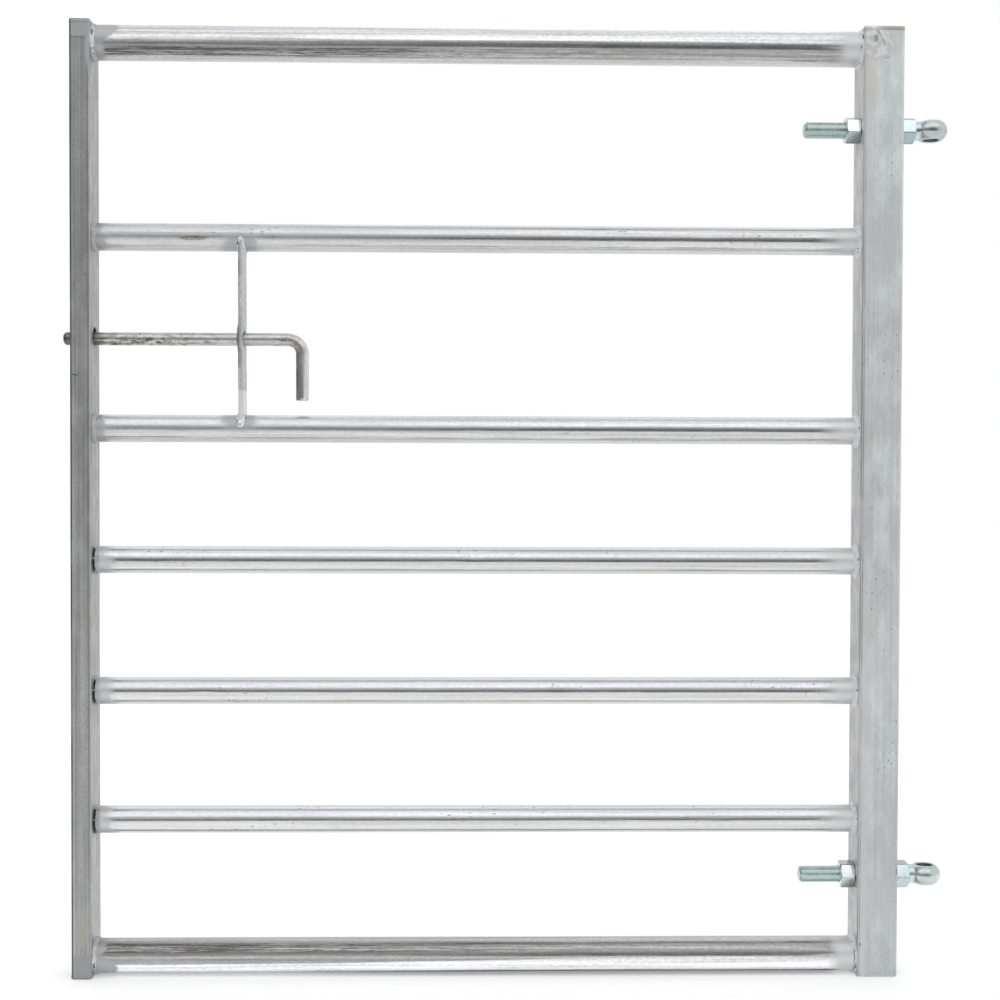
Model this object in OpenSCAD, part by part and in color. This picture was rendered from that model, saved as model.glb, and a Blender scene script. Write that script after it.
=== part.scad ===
// Field gate: a welded frame of two stiles and seven round rails, two hinge eye
// bolts and one sliding bolt that runs in an upright flat bar.
// The origin is on the hinge axis, at the underside of the lower eye.
// +Z is up the hinge axis, the gate runs towards -X and its front faces -Y.

/* [Frame] */
// Height of both stiles, with their end plates
gate_h = 1170; // [1100:10:1500]
// Width over the outer faces of the two stiles
gate_w = 1018; // [700:1:3600]
// Depth of both stiles, front to back
stile_d = 50; // [50:1:60]
// Thickness of the welded end plates
cap_t = 3; // [2:0.5:5]

/* [Hanging stile] */
// Width of the hanging stile's face
hang_w = 50; // [40:1:80]
// Wall of the hanging stile
hang_wall = 2.5; // [2:0.5:4]
// Outer corner radius of the hanging stile
hang_corner_r = 4; // [3:0.5:6]

/* [Closing stile] */
// Width of the closing stile's face
close_w = 25; // [20:1:50]
// Wall of the closing stile
close_wall = 2; // [1.5:0.5:4]
// Outer corner radius of the closing stile
close_corner_r = 3; // [2:0.5:4]

/* [Rails] */
// Outer diameter of the top and bottom rails
outer_rail_d = 42.4; // [38:0.1:46]
// Wall of the top and bottom rails
outer_rail_wall = 2; // [1.5:0.1:3]
// Outer diameter of the five rails between them
inner_rail_d = 33.7; // [27:0.1:38]
// Wall of the five rails between them
inner_rail_wall = 1.8; // [1.5:0.1:3]
// Distance from a stile's end to the nearest side of the top or bottom rail
rail_end_margin = 1; // [0.5:0.5:20]
// Top rail to second rail, centre to centre
pitch_1_2 = 237; // [190:1:290]
// Second rail to third rail, centre to centre
pitch_2_3 = 235; // [195:1:290]
// Third rail to fourth rail, centre to centre
pitch_3_4 = 162; // [60:1:200]
// Fourth rail to fifth rail, centre to centre
pitch_4_5 = 162; // [60:1:200]
// Fifth rail to sixth rail, centre to centre
pitch_5_6 = 160; // [60:1:200]

/* [Vent notches] */
// Length along the rail of the notch at the closing stile
notch_w = 3; // [2:0.5:6]
// Depth of the notch from the front of the rail
notch_d = 9; // [4:0.5:12]

/* [Welds] */
// Leg of the fillets round the rail ends
weld_leg = 4; // [2:0.5:6]
// Leg of the fillets at the ends of the bolt guide
guide_weld_leg = 3; // [2:0.5:5]

/* [Hinge eye bolts] */
// Distance from a stile's end to the nearest eye bolt's axis
hinge_inset = 122; // [60:1:150]
// Distance from the hanging stile's outer face to the hinge axis
hinge_reach = 40; // [38:0.5:60]
// Diameter of the threaded shank
shank_d = 20; // [16:1:24]
// Length of the shank that stands out beyond the inner nut
shank_stub = 50; // [10:1:100]
// Length of the chamfer at the shank's end
shank_chamfer = 2.5; // [1:0.5:4]
// Radial gap of the shank in its holes in the stile
shank_hole_gap = 1; // [0.5:0.1:2]
// Outer diameter of the eye
eye_d = 39.5; // [36:0.5:44]
// Diameter of the hole in the eye
eye_bore_d = 20.5; // [16:0.5:22]
// Height of the eye, along its hole
eye_h = 24; // [16:0.5:26]
// Radius of the eye's round outer side, seen along the gate
eye_side_r = 13.5; // [12:0.5:16]
// Chamfer at both mouths of the eye's hole
eye_bore_chamfer = 0.8; // [0.5:0.1:1]
// Diameter of the neck where it runs into the eye
neck_d = 24; // [20:0.5:24]

/* [Nuts] */
// Width of a nut across its flats
nut_af = 30; // [27:0.5:36]
// Thickness of a nut
nut_t = 18; // [12:0.5:20]
// Radial gap between a nut's hole and the shank
nut_gap = 0.1; // [0.05:0.05:0.3]
// Share of the width across flats that the chamfer leaves flat on a nut's face
nut_face_share = 0.95; // [0.9:0.01:0.98]

/* [Slide bolt] */
// Diameter of the bolt's bar
bolt_d = 16; // [12:1:20]
// Distance from the second rail's axis down to the bolt's axis
bolt_drop = 125; // [60:1:140]
// Distance that the bolt stands out of the closing stile
bolt_proud = 12.5; // [5:0.5:30]
// Centre-line radius of the bend into the handle
bolt_bend_r = 18; // [16:1:30]
// Distance from the bolt's axis down to the end of the handle
handle_drop = 75; // [45:1:85]
// Distance from the middle of the guide to the handle's axis
handle_reach = 74; // [73:1:110]
// Length of the chamfer on the bolt's tip
bolt_chamfer = 2.5; // [1:0.5:4]

/* [Bolt guide] */
// Distance from the closing stile's inner face to the middle of the guide
guide_reach = 181; // [120:1:250]
// Thickness of the guide, along the rails
guide_t = 6; // [5:0.5:8]
// Depth of the guide, front to back
guide_d = 32; // [28:0.5:32]
// Gap over the bolt in the guide's hole
guide_play = 3; // [1:0.5:4]
// Gap over the bolt in the closing stile's holes
stile_play = 6; // [2:0.5:8]
// Gap under the bolt, where it rests in its holes
bolt_seat_gap = 0.3; // [0.2:0.1:0.5]

/* [Hidden] */

$fn = 96;
cut = 1;            // how far a cutting tool runs past the face it cuts
nut_chamfer_angle = 30;

zinc = "silver";
dull_zinc = "darkgray";
bright_zinc = "lightsteelblue";

// Places along X
hang_outer_x = -hinge_reach;
hang_inner_x = hang_outer_x - hang_w;
close_outer_x = hang_outer_x - gate_w;
close_inner_x = close_outer_x + close_w;
rail_len = hang_inner_x - close_inner_x;
guide_x = close_inner_x + guide_reach;
handle_x = guide_x + handle_reach;
bolt_tip_x = close_outer_x - bolt_proud;
shank_end_x = hang_inner_x - nut_t - shank_stub;

// Places along Z
lower_eye_z = eye_h / 2;
gate_bottom_z = lower_eye_z - hinge_inset;
gate_top_z = gate_bottom_z + gate_h;
upper_eye_z = gate_top_z - hinge_inset;
rail_inset = rail_end_margin + outer_rail_d / 2;
top_rail_z = gate_top_z - rail_inset;
second_rail_z = top_rail_z - pitch_1_2;
third_rail_z = second_rail_z - pitch_2_3;
fourth_rail_z = third_rail_z - pitch_3_4;
fifth_rail_z = fourth_rail_z - pitch_4_5;
sixth_rail_z = fifth_rail_z - pitch_5_6;
bottom_rail_z = gate_bottom_z + rail_inset;
bolt_z = second_rail_z - bolt_drop;

INNER_RAIL_ZS = [second_rail_z, third_rail_z, fourth_rail_z, fifth_rail_z, sixth_rail_z];
OUTER_RAIL_ZS = [top_rail_z, bottom_rail_z];
VENTED_RAIL_ZS = [fourth_rail_z, fifth_rail_z, sixth_rail_z];
EYE_ZS = [upper_eye_z, lower_eye_z];

// The bolt rests near the bottom of each hole, so the holes' centres are higher than its axis
guide_hole_d = bolt_d + bolt_seat_gap + guide_play;
guide_hole_z = bolt_z + (guide_play - bolt_seat_gap) / 2;
stile_hole_d = bolt_d + bolt_seat_gap + stile_play;
stile_hole_z = bolt_z + (stile_play - bolt_seat_gap) / 2;
shank_hole_d = shank_d + 2 * shank_hole_gap;

// Turns a shape that stands on Z so that it runs along +X
module along_x() {
    rotate([0, 90, 0]) children();
}

// Outline of a box section with round corners, centred
module box_outline(w, d, r) {
    square([w - 2 * r, d], center = true);
    square([w, d - 2 * r], center = true);
    for (sx = [-1, 1], sy = [-1, 1])
        translate([sx * (w / 2 - r), sy * (d / 2 - r)]) circle(r);
}

// Upright box tube with its end plates' thickness left free at both ends
module stile_tube(mid_x, w, wall, r) {
    translate([mid_x, 0, gate_bottom_z + cap_t])
        linear_extrude(gate_h - 2 * cap_t)
            difference() {
                box_outline(w, stile_d, r);
                box_outline(w - 2 * wall, stile_d - 2 * wall, r - wall / 2);
            }
}

// End plate with the outline of its stile
module stile_cap(mid_x, w, r, bottom_z) {
    translate([mid_x, 0, bottom_z]) linear_extrude(cap_t) box_outline(w, stile_d, r);
}

module hanging_stile() {
    color(zinc) difference() {
        stile_tube(hang_outer_x - hang_w / 2, hang_w, hang_wall, hang_corner_r);
        for (z = EYE_ZS)
            translate([hang_inner_x - cut, 0, z]) along_x() cylinder(h = hang_w + 2 * cut, d = shank_hole_d);
    }
}

module closing_stile() {
    color(dull_zinc) difference() {
        stile_tube(close_outer_x + close_w / 2, close_w, close_wall, close_corner_r);
        translate([close_outer_x - cut, 0, stile_hole_z])
            along_x() cylinder(h = close_w + 2 * cut, d = stile_hole_d);
    }
}

module hanging_cap(bottom_z) {
    color(zinc) stile_cap(hang_outer_x - hang_w / 2, hang_w, hang_corner_r, bottom_z);
}

module closing_cap(bottom_z) {
    color(dull_zinc) stile_cap(close_outer_x + close_w / 2, close_w, close_corner_r, bottom_z);
}

// What a vent takes off the front of a tube's end at X = 0, over a stretch of the given length
module vent_cut(d, length) {
    translate([-cut, -d, -d]) cube([length + cut, d / 2 + notch_d, 2 * d]);
}

// Round tube between the stiles. A vented one has a notch in its front at the closing stile.
module rail(z, d, wall, vented = false) {
    color(zinc) translate([close_inner_x, 0, z]) difference() {
        along_x() cylinder(h = rail_len, d = d);
        translate([-cut, 0, 0]) along_x() cylinder(h = rail_len + 2 * cut, d = d - 2 * wall);
        if (vented) vent_cut(d, notch_w);
    }
}

// Upright flat bar, coped to sit on the second rail and under the third rail's top
module bolt_guide() {
    color(zinc) difference() {
        translate([guide_x - guide_t / 2, -guide_d / 2, third_rail_z])
            cube([guide_t, guide_d, pitch_2_3]);
        for (z = [second_rail_z, third_rail_z])
            translate([guide_x - guide_t, 0, z]) along_x() cylinder(h = 2 * guide_t, d = inner_rail_d);
        translate([guide_x - guide_t, 0, guide_hole_z])
            along_x() cylinder(h = 2 * guide_t, d = guide_hole_d);
    }
}

// One bar, chamfered at its tip and bent down into the handle
module slide_bolt() {
    straight_end_x = handle_x - bolt_bend_r;
    color(dull_zinc) translate([0, 0, bolt_z]) {
        translate([bolt_tip_x, 0, 0])
            along_x() cylinder(h = bolt_chamfer, d1 = bolt_d - 2 * bolt_chamfer, d2 = bolt_d);
        translate([bolt_tip_x + bolt_chamfer, 0, 0])
            along_x() cylinder(h = straight_end_x - bolt_tip_x - bolt_chamfer, d = bolt_d);
        translate([straight_end_x, 0, -bolt_bend_r])
            rotate([90, 0, 0]) rotate_extrude(angle = 90) translate([bolt_bend_r, 0]) circle(d = bolt_d);
        translate([handle_x, 0, -handle_drop]) cylinder(h = handle_drop - bolt_bend_r, d = bolt_d);
    }
}

// Cross-section of the eye's ring, to the right of its axis
module eye_section() {
    intersection() {
        translate([eye_d / 2 - eye_side_r, 0]) circle(eye_side_r);
        translate([eye_bore_d / 2, -eye_h / 2]) square([eye_d / 2, eye_h]);
    }
}

module eye_bolt(z) {
    neck_end_x = hang_outer_x + nut_t;
    color(bright_zinc) translate([0, 0, z]) difference() {
        union() {
            rotate_extrude() eye_section();
            translate([neck_end_x, 0, 0])
                along_x() cylinder(h = -neck_end_x - eye_bore_d / 2, d1 = shank_d, d2 = neck_d);
            translate([shank_end_x + shank_chamfer, 0, 0])
                along_x() cylinder(h = neck_end_x - shank_end_x - shank_chamfer, d = shank_d);
            translate([shank_end_x, 0, 0])
                along_x() cylinder(h = shank_chamfer, d1 = shank_d - 2 * shank_chamfer, d2 = shank_d);
        }
        translate([0, 0, -eye_h / 2 - cut]) cylinder(h = eye_h + 2 * cut, d = eye_bore_d);
        for (side = [-1, 1]) mirror([0, 0, side > 0 ? 0 : 1])
            translate([0, 0, eye_h / 2 - eye_bore_chamfer])
                cylinder(h = eye_bore_chamfer, d1 = eye_bore_d, d2 = eye_bore_d + 2 * eye_bore_chamfer);
    }
}

// Hexagon nut with its lower face at x. A corner points up and a flat faces the front.
module nut(x, z) {
    corner_r = nut_af / 2 / cos(30);
    face_r = nut_face_share * nut_af / 2;
    slope = 1 / tan(nut_chamfer_angle);
    color(bright_zinc) translate([x, 0, z]) along_x() difference() {
        intersection() {
            cylinder(h = nut_t, r = corner_r, $fn = 6);
            cylinder(h = nut_t, r1 = face_r, r2 = face_r + nut_t * slope);
            cylinder(h = nut_t, r1 = face_r + nut_t * slope, r2 = face_r);
        }
        translate([0, 0, -cut]) cylinder(h = nut_t + 2 * cut, d = shank_d + 2 * nut_gap);
    }
}

// Fillet round a tube's end. It starts at the stile's face and runs along +X.
module end_fillet(d, leg) {
    along_x() difference() {
        cylinder(h = leg, d1 = d + 2 * leg, d2 = d);
        translate([0, 0, -cut]) cylinder(h = leg + 2 * cut, d = d);
    }
}

// All rail-end fillets of one stile, kept on the flat of its inner face. Vents interrupt some.
module stile_welds(face_x, dir, flat_d, vented_zs = []) {
    color(dull_zinc) intersection() {
        translate([face_x, 0, 0]) mirror([dir > 0 ? 0 : 1, 0, 0]) difference() {
            union() {
                for (z = OUTER_RAIL_ZS) translate([0, 0, z]) end_fillet(outer_rail_d, weld_leg);
                for (z = INNER_RAIL_ZS) translate([0, 0, z]) end_fillet(inner_rail_d, weld_leg);
            }
            for (z = vented_zs) translate([0, 0, z]) vent_cut(inner_rail_d, weld_leg + cut);
        }
        translate([face_x - 2 * weld_leg, -flat_d / 2, gate_bottom_z])
            cube([4 * weld_leg, flat_d, gate_h]);
    }
}

// Fillets on both sides of the guide, against the underside of a rail (dir -1) or its top (dir 1)
module guide_fillets(z, dir) {
    translate([guide_x, 0, z]) mirror([0, 0, dir > 0 ? 0 : 1]) for (side = [0, 1])
        mirror([side, 0, 0]) translate([guide_t / 2, guide_d / 2, 0]) rotate([90, 0, 0])
            linear_extrude(guide_d) polygon([[0, 0], [guide_weld_leg, 0],
                [guide_weld_leg, inner_rail_d / 2], [0, inner_rail_d / 2 + guide_weld_leg]]);
}

module bolt_guide_welds() {
    color(dull_zinc) difference() {
        union() {
            guide_fillets(second_rail_z, -1);
            guide_fillets(third_rail_z, 1);
        }
        for (z = [second_rail_z, third_rail_z])
            translate([close_inner_x, 0, z]) along_x() cylinder(h = rail_len, d = inner_rail_d);
    }
}

hanging_stile();
closing_stile();
hanging_cap(gate_top_z - cap_t);  // hanging_stile_top_cap
hanging_cap(gate_bottom_z);  // hanging_stile_bottom_cap
closing_cap(gate_top_z - cap_t);  // closing_stile_top_cap
closing_cap(gate_bottom_z);  // closing_stile_bottom_cap
rail(top_rail_z, outer_rail_d, outer_rail_wall);  // top_rail
rail(second_rail_z, inner_rail_d, inner_rail_wall);  // second_rail
rail(third_rail_z, inner_rail_d, inner_rail_wall);  // third_rail
rail(fourth_rail_z, inner_rail_d, inner_rail_wall, true);  // fourth_rail
rail(fifth_rail_z, inner_rail_d, inner_rail_wall, true);  // fifth_rail
rail(sixth_rail_z, inner_rail_d, inner_rail_wall, true);  // sixth_rail
rail(bottom_rail_z, outer_rail_d, outer_rail_wall);  // bottom_rail
bolt_guide();
slide_bolt();
eye_bolt(upper_eye_z);  // upper_eye_bolt
eye_bolt(lower_eye_z);  // lower_eye_bolt
nut(hang_inner_x - nut_t, upper_eye_z);  // upper_inner_nut
nut(hang_outer_x, upper_eye_z);  // upper_outer_nut
nut(hang_inner_x - nut_t, lower_eye_z);  // lower_inner_nut
nut(hang_outer_x, lower_eye_z);  // lower_outer_nut
stile_welds(hang_inner_x, -1, stile_d - 2 * hang_corner_r);  // hanging_stile_welds
stile_welds(close_inner_x, 1, stile_d - 2 * close_corner_r, VENTED_RAIL_ZS);  // closing_stile_welds
bolt_guide_welds();
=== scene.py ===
"""Field gate: galvanised round rails between two box stiles, with hinge eye bolts and a slide bolt.

Everything is in metres and in the frame's own axes: +Z up, the front faces -Y, and the gate
runs from the hinge axis at the origin towards -X.
"""
import math

import bmesh
import bpy
import numpy as np
from mathutils import Matrix, Vector

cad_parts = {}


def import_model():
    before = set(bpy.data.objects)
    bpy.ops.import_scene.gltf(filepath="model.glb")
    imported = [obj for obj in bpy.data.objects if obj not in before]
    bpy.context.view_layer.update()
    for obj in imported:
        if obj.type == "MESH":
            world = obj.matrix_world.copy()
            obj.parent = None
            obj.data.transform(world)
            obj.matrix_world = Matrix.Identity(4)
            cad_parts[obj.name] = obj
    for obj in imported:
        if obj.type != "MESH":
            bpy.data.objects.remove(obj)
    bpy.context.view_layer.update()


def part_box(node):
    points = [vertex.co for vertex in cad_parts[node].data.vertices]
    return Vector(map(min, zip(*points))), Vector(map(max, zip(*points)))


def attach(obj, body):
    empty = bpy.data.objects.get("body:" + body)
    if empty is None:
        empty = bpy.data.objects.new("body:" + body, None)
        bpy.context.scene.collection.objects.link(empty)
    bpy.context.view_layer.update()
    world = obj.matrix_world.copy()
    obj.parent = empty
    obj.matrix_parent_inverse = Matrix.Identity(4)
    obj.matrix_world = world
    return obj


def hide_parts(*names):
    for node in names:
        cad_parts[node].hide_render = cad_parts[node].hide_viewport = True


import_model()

MM = 0.001
TURN = 2 * math.pi


def mm(*sizes):
    """Sizes given in millimetres, in metres."""
    return tuple(size * MM for size in sizes)


# ------------------------ places from the frame

def axis_of(node):
    """Height of the axis and radius of a rail or nut that lies along X."""
    low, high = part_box(node)
    return (low.z + high.z) / 2, (high.y - low.y) / 2


RAILS = ["top_rail", "second_rail", "third_rail", "fourth_rail", "fifth_rail", "sixth_rail",
         "bottom_rail"]
VENTED = ("fourth_rail", "fifth_rail", "sixth_rail")

hang_low, hang_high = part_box("hanging_stile")
close_low, close_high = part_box("closing_stile")
bolt_low, bolt_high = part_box("slide_bolt")
guide_low, guide_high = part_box("bolt_guide")

HANG_X, CLOSE_X = hang_low.x, close_high.x  # the stiles' inner faces, where the rails end
LOW_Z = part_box("hanging_stile_bottom_cap")[0].z
HIGH_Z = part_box("hanging_stile_top_cap")[1].z
MIDDLE_X = (close_low.x + hang_high.x) / 2
MIDDLE_Z = (LOW_Z + HIGH_Z) / 2
TOP_Z, OUTER_R = axis_of("top_rail")
SECOND_Z, INNER_R = axis_of("second_rail")
THIRD_Z, FOURTH_Z = axis_of("third_rail")[0], axis_of("fourth_rail")[0]
BOTTOM_Z = axis_of("bottom_rail")[0]
GUIDE_X = (guide_low.x + guide_high.x) / 2
BOLT_R = (bolt_high.y - bolt_low.y) / 2
BOLT_Z = bolt_high.z - BOLT_R
HANDLE_X = bolt_high.x - BOLT_R


# ------------------------ sizes the boxes don't give

RAIL_WALL = 1.9 * MM
HANG_WALL, HANG_CORNER = mm(2.5, 4)
CLOSE_WALL, CLOSE_CORNER = mm(2, 3)
VENT_W = 3 * MM
VENT_ANGLE, BRIDGE_ANGLE = math.radians(60), math.radians(9)
STILE_HOLE_R, STILE_HOLE_RISE = mm(11.15, 2.85)
GUIDE_HOLE_R, GUIDE_HOLE_RISE = mm(9.65, 1.35)
SHANK_R, SHANK_HOLE_R, SHANK_CHAMFER = mm(10, 11, 2.5)
THREAD_PITCH, THREAD_DEPTH = mm(2.5, 0.32)
EYE_BORE_R, EYE_SIDE_R, NECK_R = mm(10.25, 13.5, 12)
UPPER_NUT_TURN, LOWER_NUT_TURN = math.radians(11), math.radians(24)
BEND_R, TIP_CHAMFER = mm(18, 2.5)
PAINT_REACH = 20 * MM  # how far the paint runs along the rails from the hanging stile


# ------------------------ mesh helpers

def waves(points, wavelength, seed, count=10):
    """A smooth random field of about -1 to 1 at the points, with that typical wavelength."""
    rng = np.random.default_rng(seed)
    directions = rng.normal(size=(count, 3))
    directions /= np.linalg.norm(directions, axis=1)[:, None]
    pitches = TURN * rng.uniform(0.6, 1.6, count) / wavelength
    phases = rng.uniform(0, TURN, count)
    return np.sin(points @ (directions * pitches[:, None]).T + phases).sum(-1) / math.sqrt(2 * count)


def smooth(value, start, end):
    """0 at start, 1 at end, with a soft step between them."""
    t = np.clip((value - start) / (end - start), 0, 1)
    return t * t * (3 - 2 * t)


def circle(count):
    """Angles all the way round."""
    return np.arange(count) * TURN / count


def nearest(angle, period=TURN):
    """The angle from the nearest multiple of the period."""
    return (angle + period / 2) % period - period / 2


def around_x(x, radius, angle, axis_z):
    """Points round an axis along X. Angle 0 is the front, a quarter turn is the top."""
    x, radius, angle = np.broadcast_arrays(x, radius, angle)
    return np.stack([x, -radius * np.cos(angle), axis_z + radius * np.sin(angle)], -1)


class Skin:
    """A mesh that grows grid by grid. Points that meet are merged at the end."""

    def __init__(self):
        self.points, self.faces, self.count = [], [], 0

    def grid(self, points, wrap=True, keep=None):
        """Quads over a (rows, columns, 3) array. wrap joins the last column to the first."""
        rows, columns = points.shape[:2]
        index = self.count + np.arange(rows * columns).reshape(rows, columns)
        self.points.append(points.reshape(-1, 3))
        self.count += rows * columns
        left = index if wrap else index[:, :-1]
        right = np.roll(index, -1, axis=1) if wrap else index[:, 1:]
        cells = np.stack([left[:-1], right[:-1], right[1:], left[1:]], -1)
        if keep is not None:
            cells = cells[keep]
        self.faces += cells.reshape(-1, 4).tolist()

    def strip(self, line, other, wrap=True, keep=None):
        """Quads between two lines of points."""
        self.grid(np.stack([line, other]), wrap, keep)

    def lid(self, ring):
        """One flat face over a closed ring of points."""
        self.faces.append(list(range(self.count, self.count + len(ring))))
        self.points.append(ring)
        self.count += len(ring)

    def solid(self, rings):
        """A closed form: rings of points with a lid at either end."""
        self.grid(rings)
        self.lid(rings[0])
        self.lid(rings[-1])

    def tube(self, outer, inner, keep=None):
        """An open tube: two walls of rings, joined at both ends."""
        first = None if keep is None else keep[:1]
        self.grid(outer, keep=keep)
        self.grid(inner, keep=None if keep is None else keep[:len(inner) - 1])
        self.strip(outer[0], inner[0], keep=first)
        self.strip(outer[-1], inner[-1])

    def build(self, name):
        mesh = bpy.data.meshes.new(name)
        mesh.from_pydata(np.concatenate(self.points).tolist(), [], self.faces)
        bm = bmesh.new()
        bm.from_mesh(mesh)
        bmesh.ops.remove_doubles(bm, verts=bm.verts, dist=1e-6)
        bmesh.ops.dissolve_degenerate(bm, edges=bm.edges, dist=1e-7)
        bmesh.ops.recalc_face_normals(bm, faces=bm.faces)
        bm.to_mesh(mesh)
        bm.free()
        return add_object(name, mesh)


def add_object(name, data):
    obj = bpy.data.objects.new(name, data)
    bpy.context.scene.collection.objects.link(obj)
    return obj


def apply_modifiers(obj):
    """Replaces the object's mesh by the one that its modifiers give."""
    bpy.context.view_layer.update()
    evaluated = obj.evaluated_get(bpy.context.evaluated_depsgraph_get())
    mesh = bpy.data.meshes.new_from_object(evaluated)
    obj.modifiers.clear()
    obj.data = mesh


def drill_x(obj, centre, radius, length):
    """Cuts a round hole along X through the object."""
    skin = Skin()
    ends = np.array([[centre[0] - length / 2], [centre[0] + length / 2]])
    skin.solid(around_x(ends, radius, circle(64), centre[2]))
    cutter = skin.build("cutter")
    modifier = obj.modifiers.new("hole", "BOOLEAN")
    modifier.operation, modifier.solver, modifier.object = "DIFFERENCE", "EXACT", cutter
    apply_modifiers(obj)
    bpy.data.objects.remove(cutter)


def points_of(obj):
    return np.array([vertex.co for vertex in obj.data.vertices])


def store(obj, key, values):
    """Keeps a number or a vector at each of the object's points, for its paint."""
    kind, field = ("FLOAT", "value") if values.ndim == 1 else ("FLOAT_VECTOR", "vector")
    attribute = obj.data.attributes.new(key, kind, "POINT")
    attribute.data.foreach_set(field, values.astype(np.float32).ravel())


def finish_piece(obj, node, material, sharp=40, body="gate"):
    """Shades, paints and attaches a piece, which stands for that CAD node."""
    mesh = obj.data
    mesh.shade_smooth()
    mesh.set_sharp_from_angle(angle=math.radians(sharp))
    mesh.materials.clear()
    mesh.materials.append(material)
    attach(obj, body)
    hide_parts(node)


# ------------------------ shader helpers

def operation(name, swapped=False):
    """An operator of Value, which adds that step of the sum to the shader."""
    def apply(value, other=0.0):
        pair = (other, value) if swapped else (value, other)
        return value.paint.value("Math", {0: pair[0], 1: pair[1]}, operation=name)
    return apply


class Value:
    """A shader output to reckon with: a | b is the larger of the two, and a & b the smaller."""

    def __init__(self, paint, socket):
        self.paint, self.socket = paint, socket

    __add__, __radd__ = operation("ADD"), operation("ADD", swapped=True)
    __sub__, __rsub__ = operation("SUBTRACT"), operation("SUBTRACT", swapped=True)
    __mul__, __rmul__ = operation("MULTIPLY"), operation("MULTIPLY", swapped=True)
    __truediv__, __pow__ = operation("DIVIDE"), operation("POWER")
    __or__, __and__, __abs__ = operation("MAXIMUM"), operation("MINIMUM"), operation("ABSOLUTE")


class Colour(Value):
    """A shader colour. Times a number, it is that much lighter or darker."""

    def __mul__(self, level):
        return self.paint.shade(self, level)


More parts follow.
